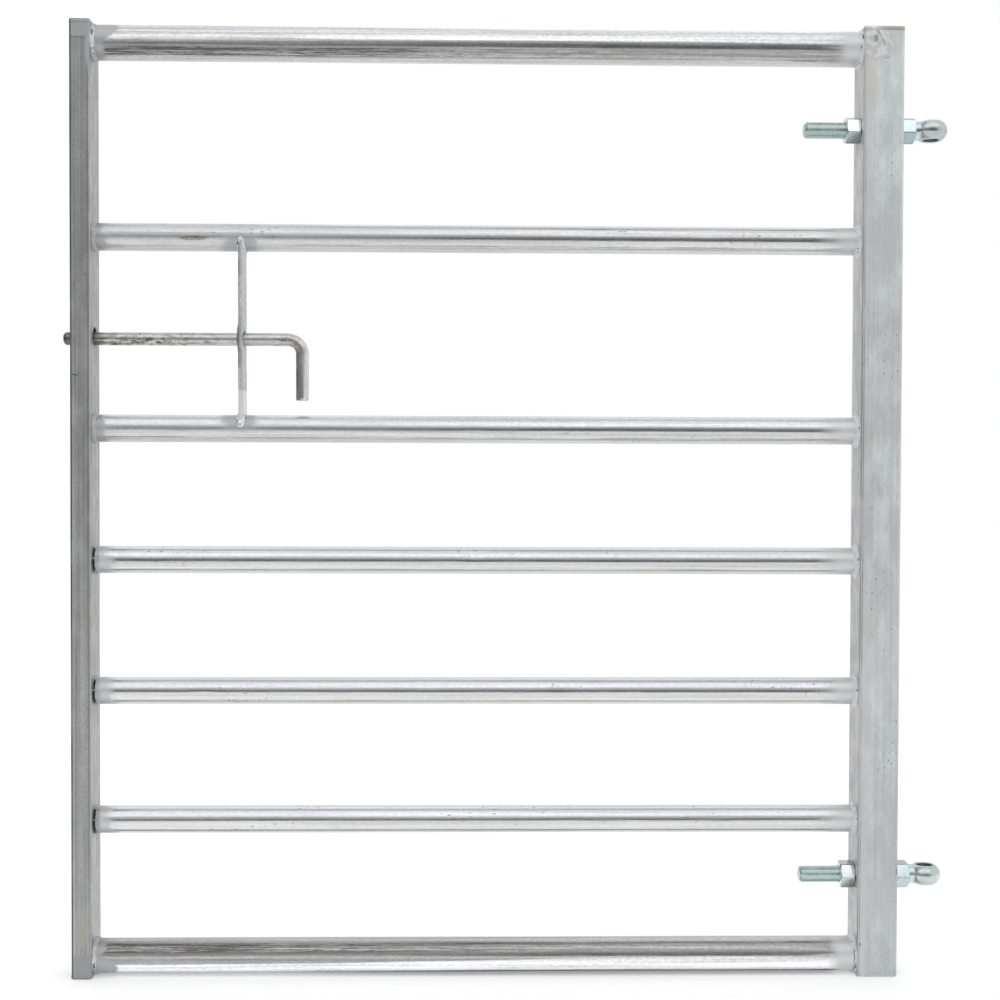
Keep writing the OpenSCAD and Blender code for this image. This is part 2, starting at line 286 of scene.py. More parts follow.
class Paint:
    """One material. Its calls add shader nodes and return their outputs as values.

    Its colour builds up by tone and coat, and finish sets the shader.
    """

    def __init__(self, name):
        self.material = bpy.data.materials.new(name)
        self.start(self.material, "BsdfPrincipled", "OutputMaterial", "Object")

    def start(self, owner, shader, output, place):
        owner.use_nodes = True
        self.tree = owner.node_tree
        self.tree.nodes.clear()
        self.shader = self.add(shader)
        self.tree.links.new(self.shader.outputs[0], self.add(output).inputs[0])
        self.measure_by(self.value("TexCoord", output=place))

    def measure_by(self, place):
        """Takes the place on the object from that vector."""
        self.place = place
        self.x, self.y, self.z = self.parts(place)

    def add(self, kind, inputs=(), **settings):
        node = self.tree.nodes.new("ShaderNode" + kind)
        for name, value in settings.items():
            setattr(node, name, value)
        for key, value in dict(inputs).items():
            self.put(node.inputs[key], value)
        return node

    def put(self, socket, value):
        if isinstance(value, Value):
            self.tree.links.new(value.socket, socket)
        else:
            socket.default_value = (*value, 1) if socket.type == "RGBA" else value

    def value(self, kind, inputs=(), output=0, **settings):
        return Value(self, self.add(kind, inputs, **settings).outputs[output])

    def tone(self, value, low, high, to_low, to_high):
        """Makes the colour lighter or darker by a soft step of the value."""
        self.colour *= self.step(value, low, high, to_low, to_high)

    def coat(self, share, colour):
        """Covers the colour so far by a share of another one."""
        self.colour = self.mix(share, self.colour, colour)

    def set(self, **sockets):
        for name, value in sockets.items():
            self.put(self.shader.inputs[name.replace("_", " ")], value)

    def finish(self, metallic, rough, height, strength, distance):
        """Sets the shader, with a bump that follows the height, and gives the material."""
        bump = self.value("Bump", {"Height": height, "Strength": strength, "Distance": distance})
        self.set(Base_Color=self.colour, Metallic=metallic, Roughness=rough, Normal=bump)
        return self.material

    def parts(self, vector):
        return [self.value("SeparateXYZ", {0: vector}, index) for index in range(3)]

    def normal(self):
        """The surface's direction, as three values."""
        return self.parts(self.value("TexCoord", output="Normal"))

    def rays(self):
        """1 for rays from the camera, off shiny surfaces, and through clear ones, as three values."""
        return [self.value("LightPath", output=f"Is {kind} Ray")
                for kind in ("Camera", "Glossy", "Transmission")]

    def attribute(self, name, output="Fac"):
        return self.value("Attribute", output=output, attribute_name=name)

    def vector(self, kind, a, b, output=0):
        return self.value("VectorMath", {0: a, 1: b}, output, operation=kind)

    def noise(self, x, y, z, detail=2.0, rough=0.5):
        """Noise with that many waves a metre along each axis."""
        return self.value("TexNoise", {"Vector": self.vector("MULTIPLY", self.place, (x, y, z)),
                                       "Scale": 1.0, "Detail": detail, "Roughness": rough})

    def cells(self, x, y, z):
        """The distance from the middle of random cells, with that many a metre along each axis."""
        return self.value("TexVoronoi", {"Vector": self.vector("MULTIPLY", self.place, (x, y, z)),
                                         "Scale": 1.0}, "Distance", feature="F1")

    def step(self, value, low, high, to_low=0.0, to_high=1.0):
        """Soft step of value from low to high."""
        return self.value("MapRange", {0: value, 1: low, 2: high, 3: to_low, 4: to_high},
                          interpolation_type="SMOOTHSTEP")

    def past(self, value, origin, low, high, to_low=0.0, to_high=1.0):
        """Soft step of a length, from low to high in mm past the origin."""
        return self.step(value, origin + low * MM, origin + high * MM, to_low, to_high)

    def fade(self, value, low, high):
        """Soft step from 1 at low to 0 at high."""
        return self.step(value, low, high, 1, 0)

    def near_face(self, y):
        """1 within 2.5 mm of the front and the back face of a piece whose back is at y."""
        return self.step(abs(self.y), y - 4 * MM, y - 2.5 * MM)

    def mix(self, share, a, b):
        return Colour(self, self.add("Mix", {0: share, 6: a, 7: b}, data_type="RGBA").outputs[2])

    def blend(self, share, a, b):
        return self.value("Mix", {0: share, 2: a, 3: b}, data_type="FLOAT")

    def shade(self, colour, level):
        """The colour times a level."""
        node = self.add("VectorMath", {0: colour, "Scale": level}, operation="SCALE")
        return Colour(self, node.outputs[0])

    def ramp(self, value, stops):
        """Colours by value: stops are (place, colour) from 0 to 1."""
        node = self.add("ValToRGB", {0: value})
        elements = node.color_ramp.elements
        for _ in range(len(stops) - 2):
            elements.new(0.5)
        for element, (place, colour) in zip(elements, stops):
            element.position, element.color = place, (*colour, 1)
        return Colour(self, node.outputs[0])

    def spot(self, centre, radii, wobble):
        """1 inside an ellipsoid, with a soft edge that the wobble noise bends."""
        away = self.vector("DIVIDE", self.vector("SUBTRACT", self.place, centre), radii)
        far = self.value("VectorMath", {0: away}, "Value", operation="LENGTH")
        return self.fade(far + wobble, 1.2, 1.7)

    def spots(self, places, wobble):
        """1 inside any of several ellipsoids, given as pairs of centre and radii."""
        inside = self.spot(*places[0], wobble)
        for centre, radii in places[1:]:
            inside |= self.spot(centre, radii, wobble)
        return inside

    def line(self, start, end, width):
        """1 on a thin scratch from start to end."""
        start, end = Vector(start), Vector(end)
        way = (end - start).normalized()
        away = self.vector("SUBTRACT", self.place, start)
        along = self.value("Clamp", {0: self.vector("DOT_PRODUCT", away, way, "Value"), 1: 0.0,
                                     2: (end - start).length})
        reached = self.value("VectorMath", {0: way, "Scale": along}, operation="SCALE")
        far = self.vector("DISTANCE", away, reached, "Value")
        return self.fade(far, 0.3 * width, width)


class WorldPaint(Paint):
    """The world's shader: a background by direction."""

    def __init__(self, name):
        bpy.context.scene.world = bpy.data.worlds.new(name)
        self.start(bpy.context.scene.world, "Background", "OutputWorld", "Generated")


def grey(level, tint=(0.0, 0.0, 0.0)):
    return tuple(level + t for t in tint)


# ------------------------ materials

def zinc_paint(p, cloud, closing_level=1.0):
    """The matt zinc paint's colour: mid blue-grey at the closing stile, paler at the hanging one."""
    at_close = p.mix(cloud, (0.33, 0.355, 0.375), (0.47, 0.49, 0.505)) * closing_level
    at_hang = p.mix(cloud, (0.52, 0.545, 0.555), (0.70, 0.715, 0.72))
    return p.mix(p.step(p.x, CLOSE_X + 0.2, HANG_X - 0.2), at_close, at_hang)


def beyond_end_paint(p, rise, grain, closing_reach):
    """Distance past the border of the paint at either end of a rail, negative on it.

    The border is ragged at the closing stile and three times as soft at the hanging one.
    closing_reach is how far the paint runs from the closing stile, on the top and the bottom half.
    """
    wave = 24 * MM * (p.noise(24, 70, 70, rough=0.55) - 0.5)
    ragged = wave + 8 * MM * (grain - 0.5)
    reach = p.step(rise, -0.3, 0.45, closing_reach[1], closing_reach[0])
    from_close = p.x - CLOSE_X - reach + ragged
    from_hang = 0.35 * (HANG_X - PAINT_REACH - p.x + wave)
    return from_close & from_hang


def rail_material(name, profile, closing_reach, streaks=0.16, seam_and_reflection_rise=-0.66, worn=None,
                  at_guide=0, dull=0.0, paint_level=1.0, blue=(-0.3, 0.5), wedge=None,
                  dark_rim=False):
    """Bright drawn tube: painted reflection bands, lengthwise lines, a dull seam that also paints a dark
    reflection line, scuffs, and matt paint at the welds.

    profile gives the zinc's level from the bottom of the tube (rise -1) to its top (rise 1), and
    with it the painted reflection bands round the tube: painted highlights and dark painted lines.
    worn is the range of rise with deep dark scratches near the closing stile, and dull is the
    roughness added there. at_guide is the side, up or down, where the bolt guide's weld is
    painted, or 0. wedge is a range of rise and the gain of the level on it, at the closing end,
    from where its lower border climbs to meet the upper one: it shifts the painted reflection bands
    there. dark_rim paints shade on the underside: it blackens it, away from the closing stile. blue
    is the rise where the cool tint, a painted reflection, starts and where it is full.
    """
    # The cool tint is a painted reflection on the tube's upper side, and on its lower side for the
    # bottom rail
    def tinted(place, value):
        weight = min(max((place - blue[0]) / (blue[1] - blue[0]), 0.0), 1.0)
        return grey(value, (-0.022 * weight, 0.0, 0.022 * weight))

    p = Paint(name)
    rise = p.attribute("rise")
    fine = p.noise(5, 1100, 1100, detail=3, rough=0.65)
    lines = p.noise(3, 330, 330, detail=3, rough=0.6)
    cloud = p.noise(24, 60, 60, detail=4, rough=0.6)
    grain = p.noise(300, 300, 300, detail=3, rough=0.6)
    speckle = p.noise(170, 420, 420, detail=3, rough=0.6)
    wobble = 0.12 * (p.noise(7, 40, 40) - 0.5)

    p.colour = p.ramp(0.5 * (rise + wobble + 1),
                      [((place + 1) / 2, tinted(place, value)) for place, value in profile])
    p.tone(p.noise(2.2, 120, 120), 0.3, 0.7, 0.93, 1.05)
    # Near the closing stile a wedge of the level shifts the painted reflection bands: painted shade
    # where its gain is below 1, painted light where it is above
    if wedge:
        low, high, gain = wedge
        border = p.step(p.x, CLOSE_X, CLOSE_X + 0.85, low, high) + wobble
        inside = p.step(rise - border, 0, 0.1) * p.fade(rise, high, high + 0.12)
        p.colour *= p.blend(inside, 1.0, gain)
    p.tone(lines, 0.42, 0.72, 1, 1 - streaks)
    p.tone(fine, 0.45, 0.75, 1, 1 - 0.5 * streaks)
    p.coat(p.step(cloud, 0.5, 0.85, 0, 0.22), (0.52, 0.515, 0.50))
    p.tone(speckle, 0.34, 0.66, 1 - 0.32 * streaks, 1 + 0.2 * streaks)

    # A thin brownish line along the front: the drawn seam, placed where it also paints a dark reflection
    # line
    seam_and_reflection_line = p.fade(abs(rise - seam_and_reflection_rise + wobble), 0.01, 0.07) * p.step(p.attribute("front"), 0, 0.2)
    seam_and_reflection_line *= p.step(p.noise(12, 0, 40), 0.35, 0.65, 0.2, 0.8)
    p.coat(seam_and_reflection_line, (0.27, 0.255, 0.225))

    if worn:
        inside = p.step(rise, worn[0], worn[0] + 0.08) * p.fade(rise, worn[1] - 0.1, worn[1])
        scored = p.step(p.noise(6, 430, 430, detail=4, rough=0.7), 0.41, 0.55)
        nicked = p.noise(38, 620, 620, detail=4, rough=0.75)
        scored = scored * p.step(nicked, 0.36, 0.5, 0.35, 0.9) | p.step(nicked, 0.53, 0.6)
        scored *= p.step(p.x, CLOSE_X + 0.2, CLOSE_X + 0.8, 1, 0.25)
        p.coat(scored * inside, (0.085, 0.08, 0.068))

    metal = 1.0
    # Painted shade: the bottom rail's underside blackened and made less metallic, away from the closing
    # stile
    if dark_rim:
        rim = p.fade(rise + wobble, -0.79, -0.70) * p.step(p.x, CLOSE_X + 0.2, CLOSE_X + 0.45)
        p.coat(rim, (0.035, 0.035, 0.034))
        metal = 1 - rim

    # Small dark nicks and hair cracks across the tube, in a few places only
    nicks = p.fade(p.cells(60, 170, 170), 0.08, 0.2)
    contour = p.noise(130, 60, 60, detail=1.5, rough=0.4)
    cracks = p.fade(abs(contour - 0.5), 0.004, 0.016) * p.step(grain, 0.5, 0.58)
    here = p.step(p.noise(7, 24, 24, detail=1), 0.57, 0.66)
    p.coat((0.6 * nicks | 0.45 * cracks) * here, (0.16, 0.155, 0.14))

    beyond = beyond_end_paint(p, rise, grain, closing_reach)
    patch, dulled = p.fade(beyond, -1 * MM, 6 * MM), p.fade(beyond, 0, 15 * MM)
    if at_guide:
        off = ((p.x - (GUIDE_X - 2 * MM)) / (22 * MM)) ** 2 + (rise - 0.8 * at_guide) ** 2
        off += 1.5 * (cloud - 0.5)
        off += 0.6 * (grain - 0.5)
        patch |= p.step(off, 0.5, 1.25, 0.9, 0)
        dulled |= p.fade(off, 0.8, 2.2)
    if at_guide < 0:
        stain = p.spot((GUIDE_X - 58 * MM, -16 * MM, SECOND_Z - 3 * MM), mm(17, 9, 3), cloud)
        stain *= p.step(grain, 0.35, 0.6, 0.3, 0.8)
        p.coat(stain, (0.24, 0.20, 0.155))

    rough = p.step(cloud, 0.3, 0.8, 0.16, 0.26) + 0.2 * seam_and_reflection_line
    rough += p.step(p.x, CLOSE_X + 0.15, CLOSE_X + 0.65, dull, 0)
    height = 0.4 * fine + 0.6 * cloud + 1.5 * (grain * patch)
    p.coat(patch, zinc_paint(p, cloud, paint_level))
    return p.finish(p.blend(patch, metal, 0.5), p.blend(dulled, rough, 0.46), height, 0.3, 0.1 * MM)


def stile_base(p, level, tint, contrast, cloudy, grain):
    """Upright streaks, clouds, grain, specks and hair scratches of a galvanised box section.

    It returns the streaks, the clouds, and a coarser mottle for the inner face.
    """
    streak = p.noise(240, 240, 2.5, detail=3, rough=0.6)
    cloud = p.noise(60, 60, 26, detail=5, rough=0.65)
    mottle = p.noise(60, 60, 34, detail=4, rough=0.6)
    speckle, long_streak = p.noise(650, 650, 380, rough=0.7), p.noise(420, 420, 1.2)
    p.colour = p.mix(p.noise(70, 70, 4), grey(level * (1 - 0.16 * contrast), tint),
                     grey(level * (1 + 0.14 * contrast), tint))
    p.tone(streak, 0.38, 0.70, 1.04, 1 - 0.22 * contrast)
    p.tone(cloud, 0.35, 0.75, 1 - 0.07 * cloudy, 1 + 0.12 * cloudy)
    p.tone(speckle, 0.3, 0.7, 1 - grain, 1 + grain)
    p.tone(long_streak, 0.35, 0.65, 1 - 0.055 * contrast, 1 + 0.045 * contrast)
    specks = p.fade(p.cells(150, 150, 90), 0.07, 0.17)
    hairs = p.fade(abs(p.noise(50, 50, 34) - 0.5), 0.003, 0.010) * p.step(cloud, 0.53, 0.6)
    here = p.step(p.noise(15, 15, 9, detail=1), 0.55, 0.66)
    p.coat((0.7 * specks | 0.3 * hairs) * here, (0.14, 0.135, 0.125))
    return streak, cloud, mottle


def paint_round_joints(p, face_x, cloud):
    """Zinc paint on a stile's inner face, round the end of each rail."""
    for node in RAILS:
        axis_z, radius = axis_of(node)
        halo = p.spot((face_x, 0, axis_z), (3 * MM, radius + 4 * MM, radius + 4 * MM), cloud)
        p.coat(0.85 * halo, zinc_paint(p, cloud))


def finish_stile(p, streak, cloud, lumps):
    height = 0.5 * streak + 0.3 * p.noise(700, 700, 500) + 2.5 * lumps
    return p.finish(0.5, p.step(cloud, 0.25, 0.8, 0.36, 0.5), height, 0.4, 0.15 * MM)


def hanging_stile_material():
    """Light blue-grey zinc. Lumpy paint and scratches by the top weld, a brown rim at the top."""
    def on_front(x, z):
        """A place on the front, in mm from its top corner beside the rails."""
        return HANG_X + x * MM, hang_low.y, HIGH_Z + z * MM

    p = Paint("stile_zinc")
    streak, cloud, mottle = stile_base(p, 0.66, (-0.035, 0.0, 0.012), 0.3, 1.1, 0.06)
    p.tone(p.z, LOW_Z + 0.1, LOW_Z + 0.45, 0.79, 1)
    p.coat(p.step(p.noise(26, 26, 9), 0.5, 0.75, 0, 0.3), (0.60, 0.585, 0.545))

    # Beside the rails, a neutral band on the front and its rolled corner is a painted reflection, and
    # the inner face is darker
    band = p.past(p.x, HANG_X, 8, 12, 1, 0)
    p.coat(0.45 * band, p.mix(streak, grey(0.57), grey(0.64)))
    side = p.mix(streak, (0.36, 0.375, 0.38), (0.54, 0.55, 0.55))
    side *= p.step(p.z, LOW_Z + 0.35, HIGH_Z - 0.2, 1.02, 1.26)
    side *= p.step(mottle, 0.36, 0.64, 0.86, 1.14)
    side = p.mix(p.step(mottle, 0.52, 0.7, 0, 0.35), side, (0.60, 0.57, 0.52))
    inner = p.past(p.x, HANG_X, 0.2, 1, 1, 0)
    p.coat(0.9 * inner, side)
    paint_round_joints(p, HANG_X, cloud)

    # Dark lines that break off: one on the outer corner, and two beside the rails, which are a painted
    # dark reflection in the rolled corner
    broken = p.step(p.noise(60, 60, 12, detail=3), 0.38, 0.6, 0.35, 1)
    outer = p.past(p.x, hang_high.x, -1.8, -0.8, 0, 0.5)
    p.coat(outer * p.near_face(hang_high.y) * broken, (0.26, 0.25, 0.24))
    for line_x in (HANG_X + 0.7 * MM, HANG_X + 2.6 * MM):
        dark = p.step(abs(p.x - line_x), 0.3 * MM, 0.8 * MM, 0.65, 0)
        p.coat(dark * broken, (0.17, 0.17, 0.18))

    pale = p.spot(on_front(14, -20), mm(24, 20, 22), cloud)
    lumps = pale * p.noise(170, 170, 170, detail=3)
    lumpy = p.mix(p.step(lumps, 0.40, 0.60), (0.50, 0.505, 0.50), (0.76, 0.77, 0.77))
    p.coat(0.6 * pale, lumpy)
    warm = p.spot(on_front(7, -62), mm(9, 12, 34), cloud)
    p.coat(0.6 * warm, (0.62, 0.60, 0.56))
    rim = p.past(p.z + 0.09 * p.x + 6 * MM * cloud, HIGH_Z, -8.5, -6)
    rim *= p.past(p.x, HANG_X, 6, 30)
    p.coat(0.75 * rim, (0.32, 0.295, 0.255))
    scratch = p.line(on_front(16, -5), on_front(25, -22), 1.0 * MM)
    dash = p.line(on_front(25, -39), on_front(31, -38), 0.8 * MM)
    nick_z, pit_z = axis_of("lower_inner_nut")[0] + 8 * MM, BOTTOM_Z + 18 * MM
    chips = p.spots([((hang_high.x - 1 * MM, hang_low.y, nick_z), mm(2, 3, 4)),
                     ((HANG_X + 3 * MM, hang_low.y, pit_z), mm(1.6, 2, 2.2)),
                     (on_front(14, -15), mm(2.5, 3, 4))], cloud)
    p.coat(0.6 * (scratch | dash | chips), grey(0.15))
    return finish_stile(p, streak, cloud, lumps)


def closing_stile_material():
    """Darker grey zinc with a paler inner face, and paint over both ends and down the top corner."""
    p = Paint("closing_stile_zinc")
    front_y = close_low.y
    streak, cloud, mottle = stile_base(p, 0.31, (0.0, 0.004, 0.006), 1.1, 1.1, 0.1)
    p.tone(p.z, LOW_Z + 0.45, LOW_Z + 0.95, 1.18, 1)
    earthy = p.spot(((close_low.x + CLOSE_X) / 2, front_y, LOW_Z + 62 * MM), mm(10, 6, 22), cloud)
    p.coat(0.5 * earthy, (0.40, 0.37, 0.32))
    # A painted dark reflection down the front, where the inner corner starts to round
    warm = p.spot((CLOSE_X - 2.5 * MM, front_y, MIDDLE_Z), mm(1.8, 3, 600), cloud)
    p.coat(0.5 * warm, (0.17, 0.162, 0.145))
    # A painted highlight: a thin light line beside the outer corner's dark line
    p.tone(abs(p.x - (close_low.x + 4.2 * MM)), 0.5 * MM, 1.4 * MM, 1.22, 1)

    side = p.mix(p.step(streak, 0.35, 0.65), (0.33, 0.33, 0.32), (0.46, 0.46, 0.45))
    side = p.mix(p.step(cloud, 0.5, 0.7, 0, 0.5), side, (0.55, 0.56, 0.56))
    side *= p.step(mottle, 0.36, 0.64, 0.84, 1.08)
    p.coat(p.past(p.x, CLOSE_X, -1.4, -0.2), side)
    # A painted highlight along the rounded inner corner
    corner = p.step(abs(p.x - (CLOSE_X - 0.9 * MM)), 0.2 * MM, 0.7 * MM, 0.5, 0)
    p.coat(corner * p.step(cloud, 0.35, 0.6, 0.4, 1), grey(0.62))
    paint_round_joints(p, CLOSE_X, cloud)

    # Paint over both ends, with a dark border below the upper one and a run down the corner
    height = p.z + 9 * MM * (cloud - 0.5)
    top = p.past(height, HIGH_Z, -22, -20.5)
    under = p.past(height, HIGH_Z, -26, -22)
    foot = p.past(height, LOW_Z, 24, 34, 1, 0)
    run = p.spot((CLOSE_X - 1 * MM, front_y, HIGH_Z - 36 * MM), mm(5.5, 9, 23), cloud)
    paint = p.mix(cloud, (0.34, 0.365, 0.38), (0.42, 0.445, 0.46))
    paint *= p.step(p.z, LOW_Z + 0.1, LOW_Z + 0.3, 0.78, 0.95)
    p.coat(0.5 * under, (0.16, 0.155, 0.145))
    p.coat(top | run | foot, paint)

    # Dark lines, broken by noise: a painted dark reflection along the outer corners, front and back, and
    # dark rims on the rounded edges of both ends
    broken = p.step(p.noise(80, 80, 14, detail=3), 0.35, 0.6, 0.55, 1)
    edge = p.past(p.x, close_low.x, 2, 2.8, 1, 0) * p.near_face(close_high.y)
    end = p.fade(HIGH_Z - MIDDLE_Z - abs(p.z - MIDDLE_Z), 0.5 * MM, 1.8 * MM)
    end *= p.fade(abs(p.normal()[2]), 0.8, 0.95)
    p.coat(0.94 * ((edge | end) * broken), (0.035, 0.04, 0.047))

    mark = p.line((close_low.x + 1 * MM, front_y, BOLT_Z - 45 * MM),
                  (close_low.x + 9 * MM, front_y, BOLT_Z - 47 * MM), 1.0 * MM)
    p.coat(0.85 * mark, grey(0.05))
    ring = p.spot((CLOSE_X, 0, BOLT_Z + STILE_HOLE_RISE), mm(6, 13.5, 13), cloud)
    p.coat(0.6 * ring, (0.17, 0.15, 0.125))
    return finish_stile(p, streak, cloud, 0.4 * top)


def weld_material():
    """Beads under the matt zinc paint, bare and whitish at a few welds, with dark pits and cracks."""
    p = Paint("weld_zinc_paint")
    cloud = p.noise(150, 150, 150, detail=4, rough=0.6)
    guide_y, top_y, low_y = guide_low.y, -OUTER_R, -axis_of("bottom_rail")[1]
    bare_size = mm(12, 26, 20)
    bare = p.spots([((CLOSE_X, 0, TOP_Z), bare_size), ((CLOSE_X, 0, BOTTOM_Z), bare_size),
                    ((GUIDE_X, guide_y, SECOND_Z - 8 * MM), bare_size),
                    ((GUIDE_X, guide_y, THIRD_Z + 8 * MM), bare_size)], cloud)
    bright = p.mix(p.step(cloud, 0.4, 0.55), (0.40, 0.41, 0.42), (0.92, 0.92, 0.92))
    p.colour = p.mix(bare, zinc_paint(p, cloud), bright)

    places = [((CLOSE_X + 2 * MM, top_y, TOP_Z + 7 * MM), mm(1.4, 6, 5)),
              ((HANG_X - 1 * MM, top_y, TOP_Z + 10 * MM), mm(1.0, 9, 3.2)),
              ((HANG_X - 3 * MM, top_y, TOP_Z - 3 * MM), mm(0.9, 6, 2)),
              ((CLOSE_X + 2 * MM, low_y, BOTTOM_Z - 7 * MM), mm(1.4, 6, 4.5)),
              ((HANG_X - 1 * MM, low_y, BOTTOM_Z - 10 * MM), mm(0.9, 9, 3.5)),
              ((GUIDE_X - 5 * MM, guide_y, SECOND_Z - 8 * MM), mm(2.4, 5, 3.6)),
              ((GUIDE_X - 5 * MM, guide_y, THIRD_Z + 8 * MM), mm(2.4, 5, 3.0))]
    for node in RAILS[1:-1]:
        axis_z, radius = axis_of(node)
        places.append(((HANG_X - 1 * MM, -radius, axis_z + 3 * MM), mm(0.8, 5, 1.6)))
    pits = p.fade(p.cells(230, 230, 230), 0.14, 0.32)
    pits *= p.step(p.noise(70, 70, 70, detail=1), 0.54, 0.62)
    crack = p.fade(abs(p.x + 5 * MM * (cloud - 0.5) - (HANG_X - 2.6 * MM)), 0.25 * MM, 0.8 * MM)
    crack *= p.past(p.z, BOTTOM_Z, 8, 14, 1, 0)
    marks = pits | p.spots(places, cloud) | crack
    p.coat(0.85 * marks, (0.08, 0.075, 0.07))

    burnt = p.step(p.noise(40, 40, 40), 0.5, 0.66, 0, 0.5)
    at_vents = p.past(p.z, FOURTH_Z, 40, 25)
    at_vents *= p.past(p.x, CLOSE_X, 20, 12)
    p.coat(burnt * at_vents, (0.30, 0.25, 0.20))
    return p.finish(0.45, 0.45, cloud, 0.5, 0.4 * MM)


def plate_material(name, colour, rough, neck=None):
    """Bright zinc plate with a cool tint and faint clouds. neck is the colour where it meets a nut."""
    p = Paint(name)
    cloud = p.noise(130, 130, 130, detail=3)
    p.colour = p.shade(colour, p.step(cloud, 0.3, 0.7, 0.88, 1.03))
    p.tone(p.noise(900, 900, 900), 0.5, 0.8, 1, 0.88)
    # Painted shade: darker underneath
    p.tone(p.normal()[2], -0.9, 0.1, 0.8, 1)
    if neck:
        neck_end = hang_high.x + 22 * MM
        p.coat(p.fade(p.x, neck_end, neck_end + 3 * MM), neck)
    rough = p.step(cloud, 0.3, 0.7, rough, rough + 0.1)
    return p.finish(1.0, rough, cloud, 0.2, 0.05 * MM)


def nut_material(name, colour):
    """Zinc plate, darker along the edges between its flats, with painted shade on the chamfers,
    underneath and on the top flats.
    """
    p = Paint(name)
    cloud = p.noise(130, 130, 130, detail=3)
    normal_z = p.normal()[2]
    p.colour = p.shade(colour, p.step(cloud, 0.3, 0.7, 0.9, 1.02))
    # Painted shade: much darker underneath, and darker on the upward flats
    p.tone(normal_z, -0.9, -0.25, 0.42, 1)
    p.tone(normal_z, 0.6, 0.95, 1, 0.62)
    dark_edges_and_shade = p.attribute("edge") * p.step(p.noise(500, 500, 500, detail=3), 0.35, 0.6, 0.5, 1)
    p.coat(0.7 * dark_edges_and_shade, (0.20, 0.22, 0.225))
    return p.finish(1.0, p.step(cloud, 0.3, 0.7, 0.2, 0.3), cloud, 0.2, 0.05 * MM)


def bolt_material():
    """Dull bar: mottled dark scuffs along its front, a rusty foot at the stile, a blackened tip, and
    painted shade and light on the handle's two sides.

    Its noises follow the bar round the bend: its x is the distance from the tip.
    """
    p = Paint("bolt_zinc")
    p.measure_by(p.attribute("unbent", "Vector"))
    guide_at, stile_at = GUIDE_X - bolt_low.x + 5.5 * MM, CLOSE_X - bolt_low.x
    streak = p.noise(30, 420, 420, detail=4, rough=0.65)
    blotch = p.noise(105, 300, 300, detail=5, rough=0.75)
    patchy = p.noise(14, 20, 60)
    worn = p.step(streak, 0.3, 0.7)
    p.colour = p.mix(worn, (0.48, 0.475, 0.455), (0.68, 0.68, 0.665))

    # Scuffed but for a stretch on both sides of the guide
    scuffed = p.step(abs(p.x - guide_at) + 3 * MM * patchy, 33 * MM, 36 * MM, 0.2, 1)
    clean = p.mix(worn, (0.45, 0.47, 0.48), (0.60, 0.62, 0.63))
    p.coat(0.9 - 0.9 * scuffed, clean)
    amount = p.step(blotch, 0.45, 0.58) * p.step(patchy, 0.35, 0.6, 0.5, 1)
    amount *= p.step(p.x, 0.16, 0.2, 1, 0.7)
    # The scuffs thin out on the upper half, so the lower half is darker: scuffing and painted shade both
    amount *= p.step(p.z, -0.4 * BOLT_R, 0.5 * BOLT_R, 1, 0.4)
    specks = p.step(p.cells(110, 160, 160), 0.10, 0.26, 0.8, 0)
    amount |= specks * p.step(patchy, 0.4, 0.6)
    p.coat(amount * scuffed, (0.115, 0.108, 0.09))

    rusty = p.past(p.x, stile_at, 4, 14, 0.75, 0)
    p.coat(rusty, (0.25, 0.21, 0.165))
    outside = close_low.x - bolt_low.x
    tip = p.past(p.x, outside, -5, 10, 0.85, 0)
    p.coat(tip, p.mix(p.step(blotch, 0.35, 0.65), grey(0.05), (0.24, 0.235, 0.22)))
    # Painted shade and light on the handle: darker on the side towards the closing stile, lighter on the
    # other
    p.tone(p.normal()[0], -0.8, 0.8, 0.60, 1.28)
    return p.finish(1.0, p.step(blotch, 0.35, 0.7, 0.30, 0.46), blotch, 0.35, 0.25 * MM)


def guide_material():
    """Matt galvanised flat bar, paler under the bolt's hole, with a dark smear beside it, a painted
    shadow line down its left edge and a painted highlight down its right edge.
    """
    p = Paint("guide_zinc")
    streak, speckle = p.noise(260, 260, 12, detail=3), p.noise(420, 420, 300, detail=3, rough=0.7)
    cloud = p.noise(110, 110, 70, detail=4, rough=0.6)
    p.colour = p.mix(p.step(streak, 0.3, 0.7), (0.40, 0.41, 0.42), (0.66, 0.67, 0.68))
    p.tone(speckle, 0.3, 0.7, 0.72, 1.2)
    pale = p.past(p.z + 6 * MM * cloud, BOLT_Z, -62, -59, 0.85, 0)
    p.coat(pale, (0.82, 0.83, 0.84))
    # A painted shadow line down the left edge of the front and back faces, and a painted highlight down
    # the right edge
    broken = p.step(p.noise(90, 90, 40, detail=3), 0.4, 0.6, 0.3, 1)
    edge = p.near_face(guide_high.y)
    left = p.past(p.x, guide_low.x, 0.8, 2.2, 0.75, 0) * (1 - pale)
    p.coat(left * broken * edge, (0.15, 0.155, 0.16))
    right = p.past(p.x, guide_high.x, -3.2, -1.8, 0, 0.5)
    p.coat(right * edge, (0.72, 0.73, 0.74))
    smear = p.spot((GUIDE_X - 3 * MM, guide_low.y, BOLT_Z - 24 * MM), mm(4, 20, 14), cloud)
    p.coat(0.35 * smear, (0.15, 0.155, 0.16))
    return p.finish(0.5, p.step(cloud, 0.3, 0.8, 0.36, 0.5), cloud, 0.6, 0.35 * MM)


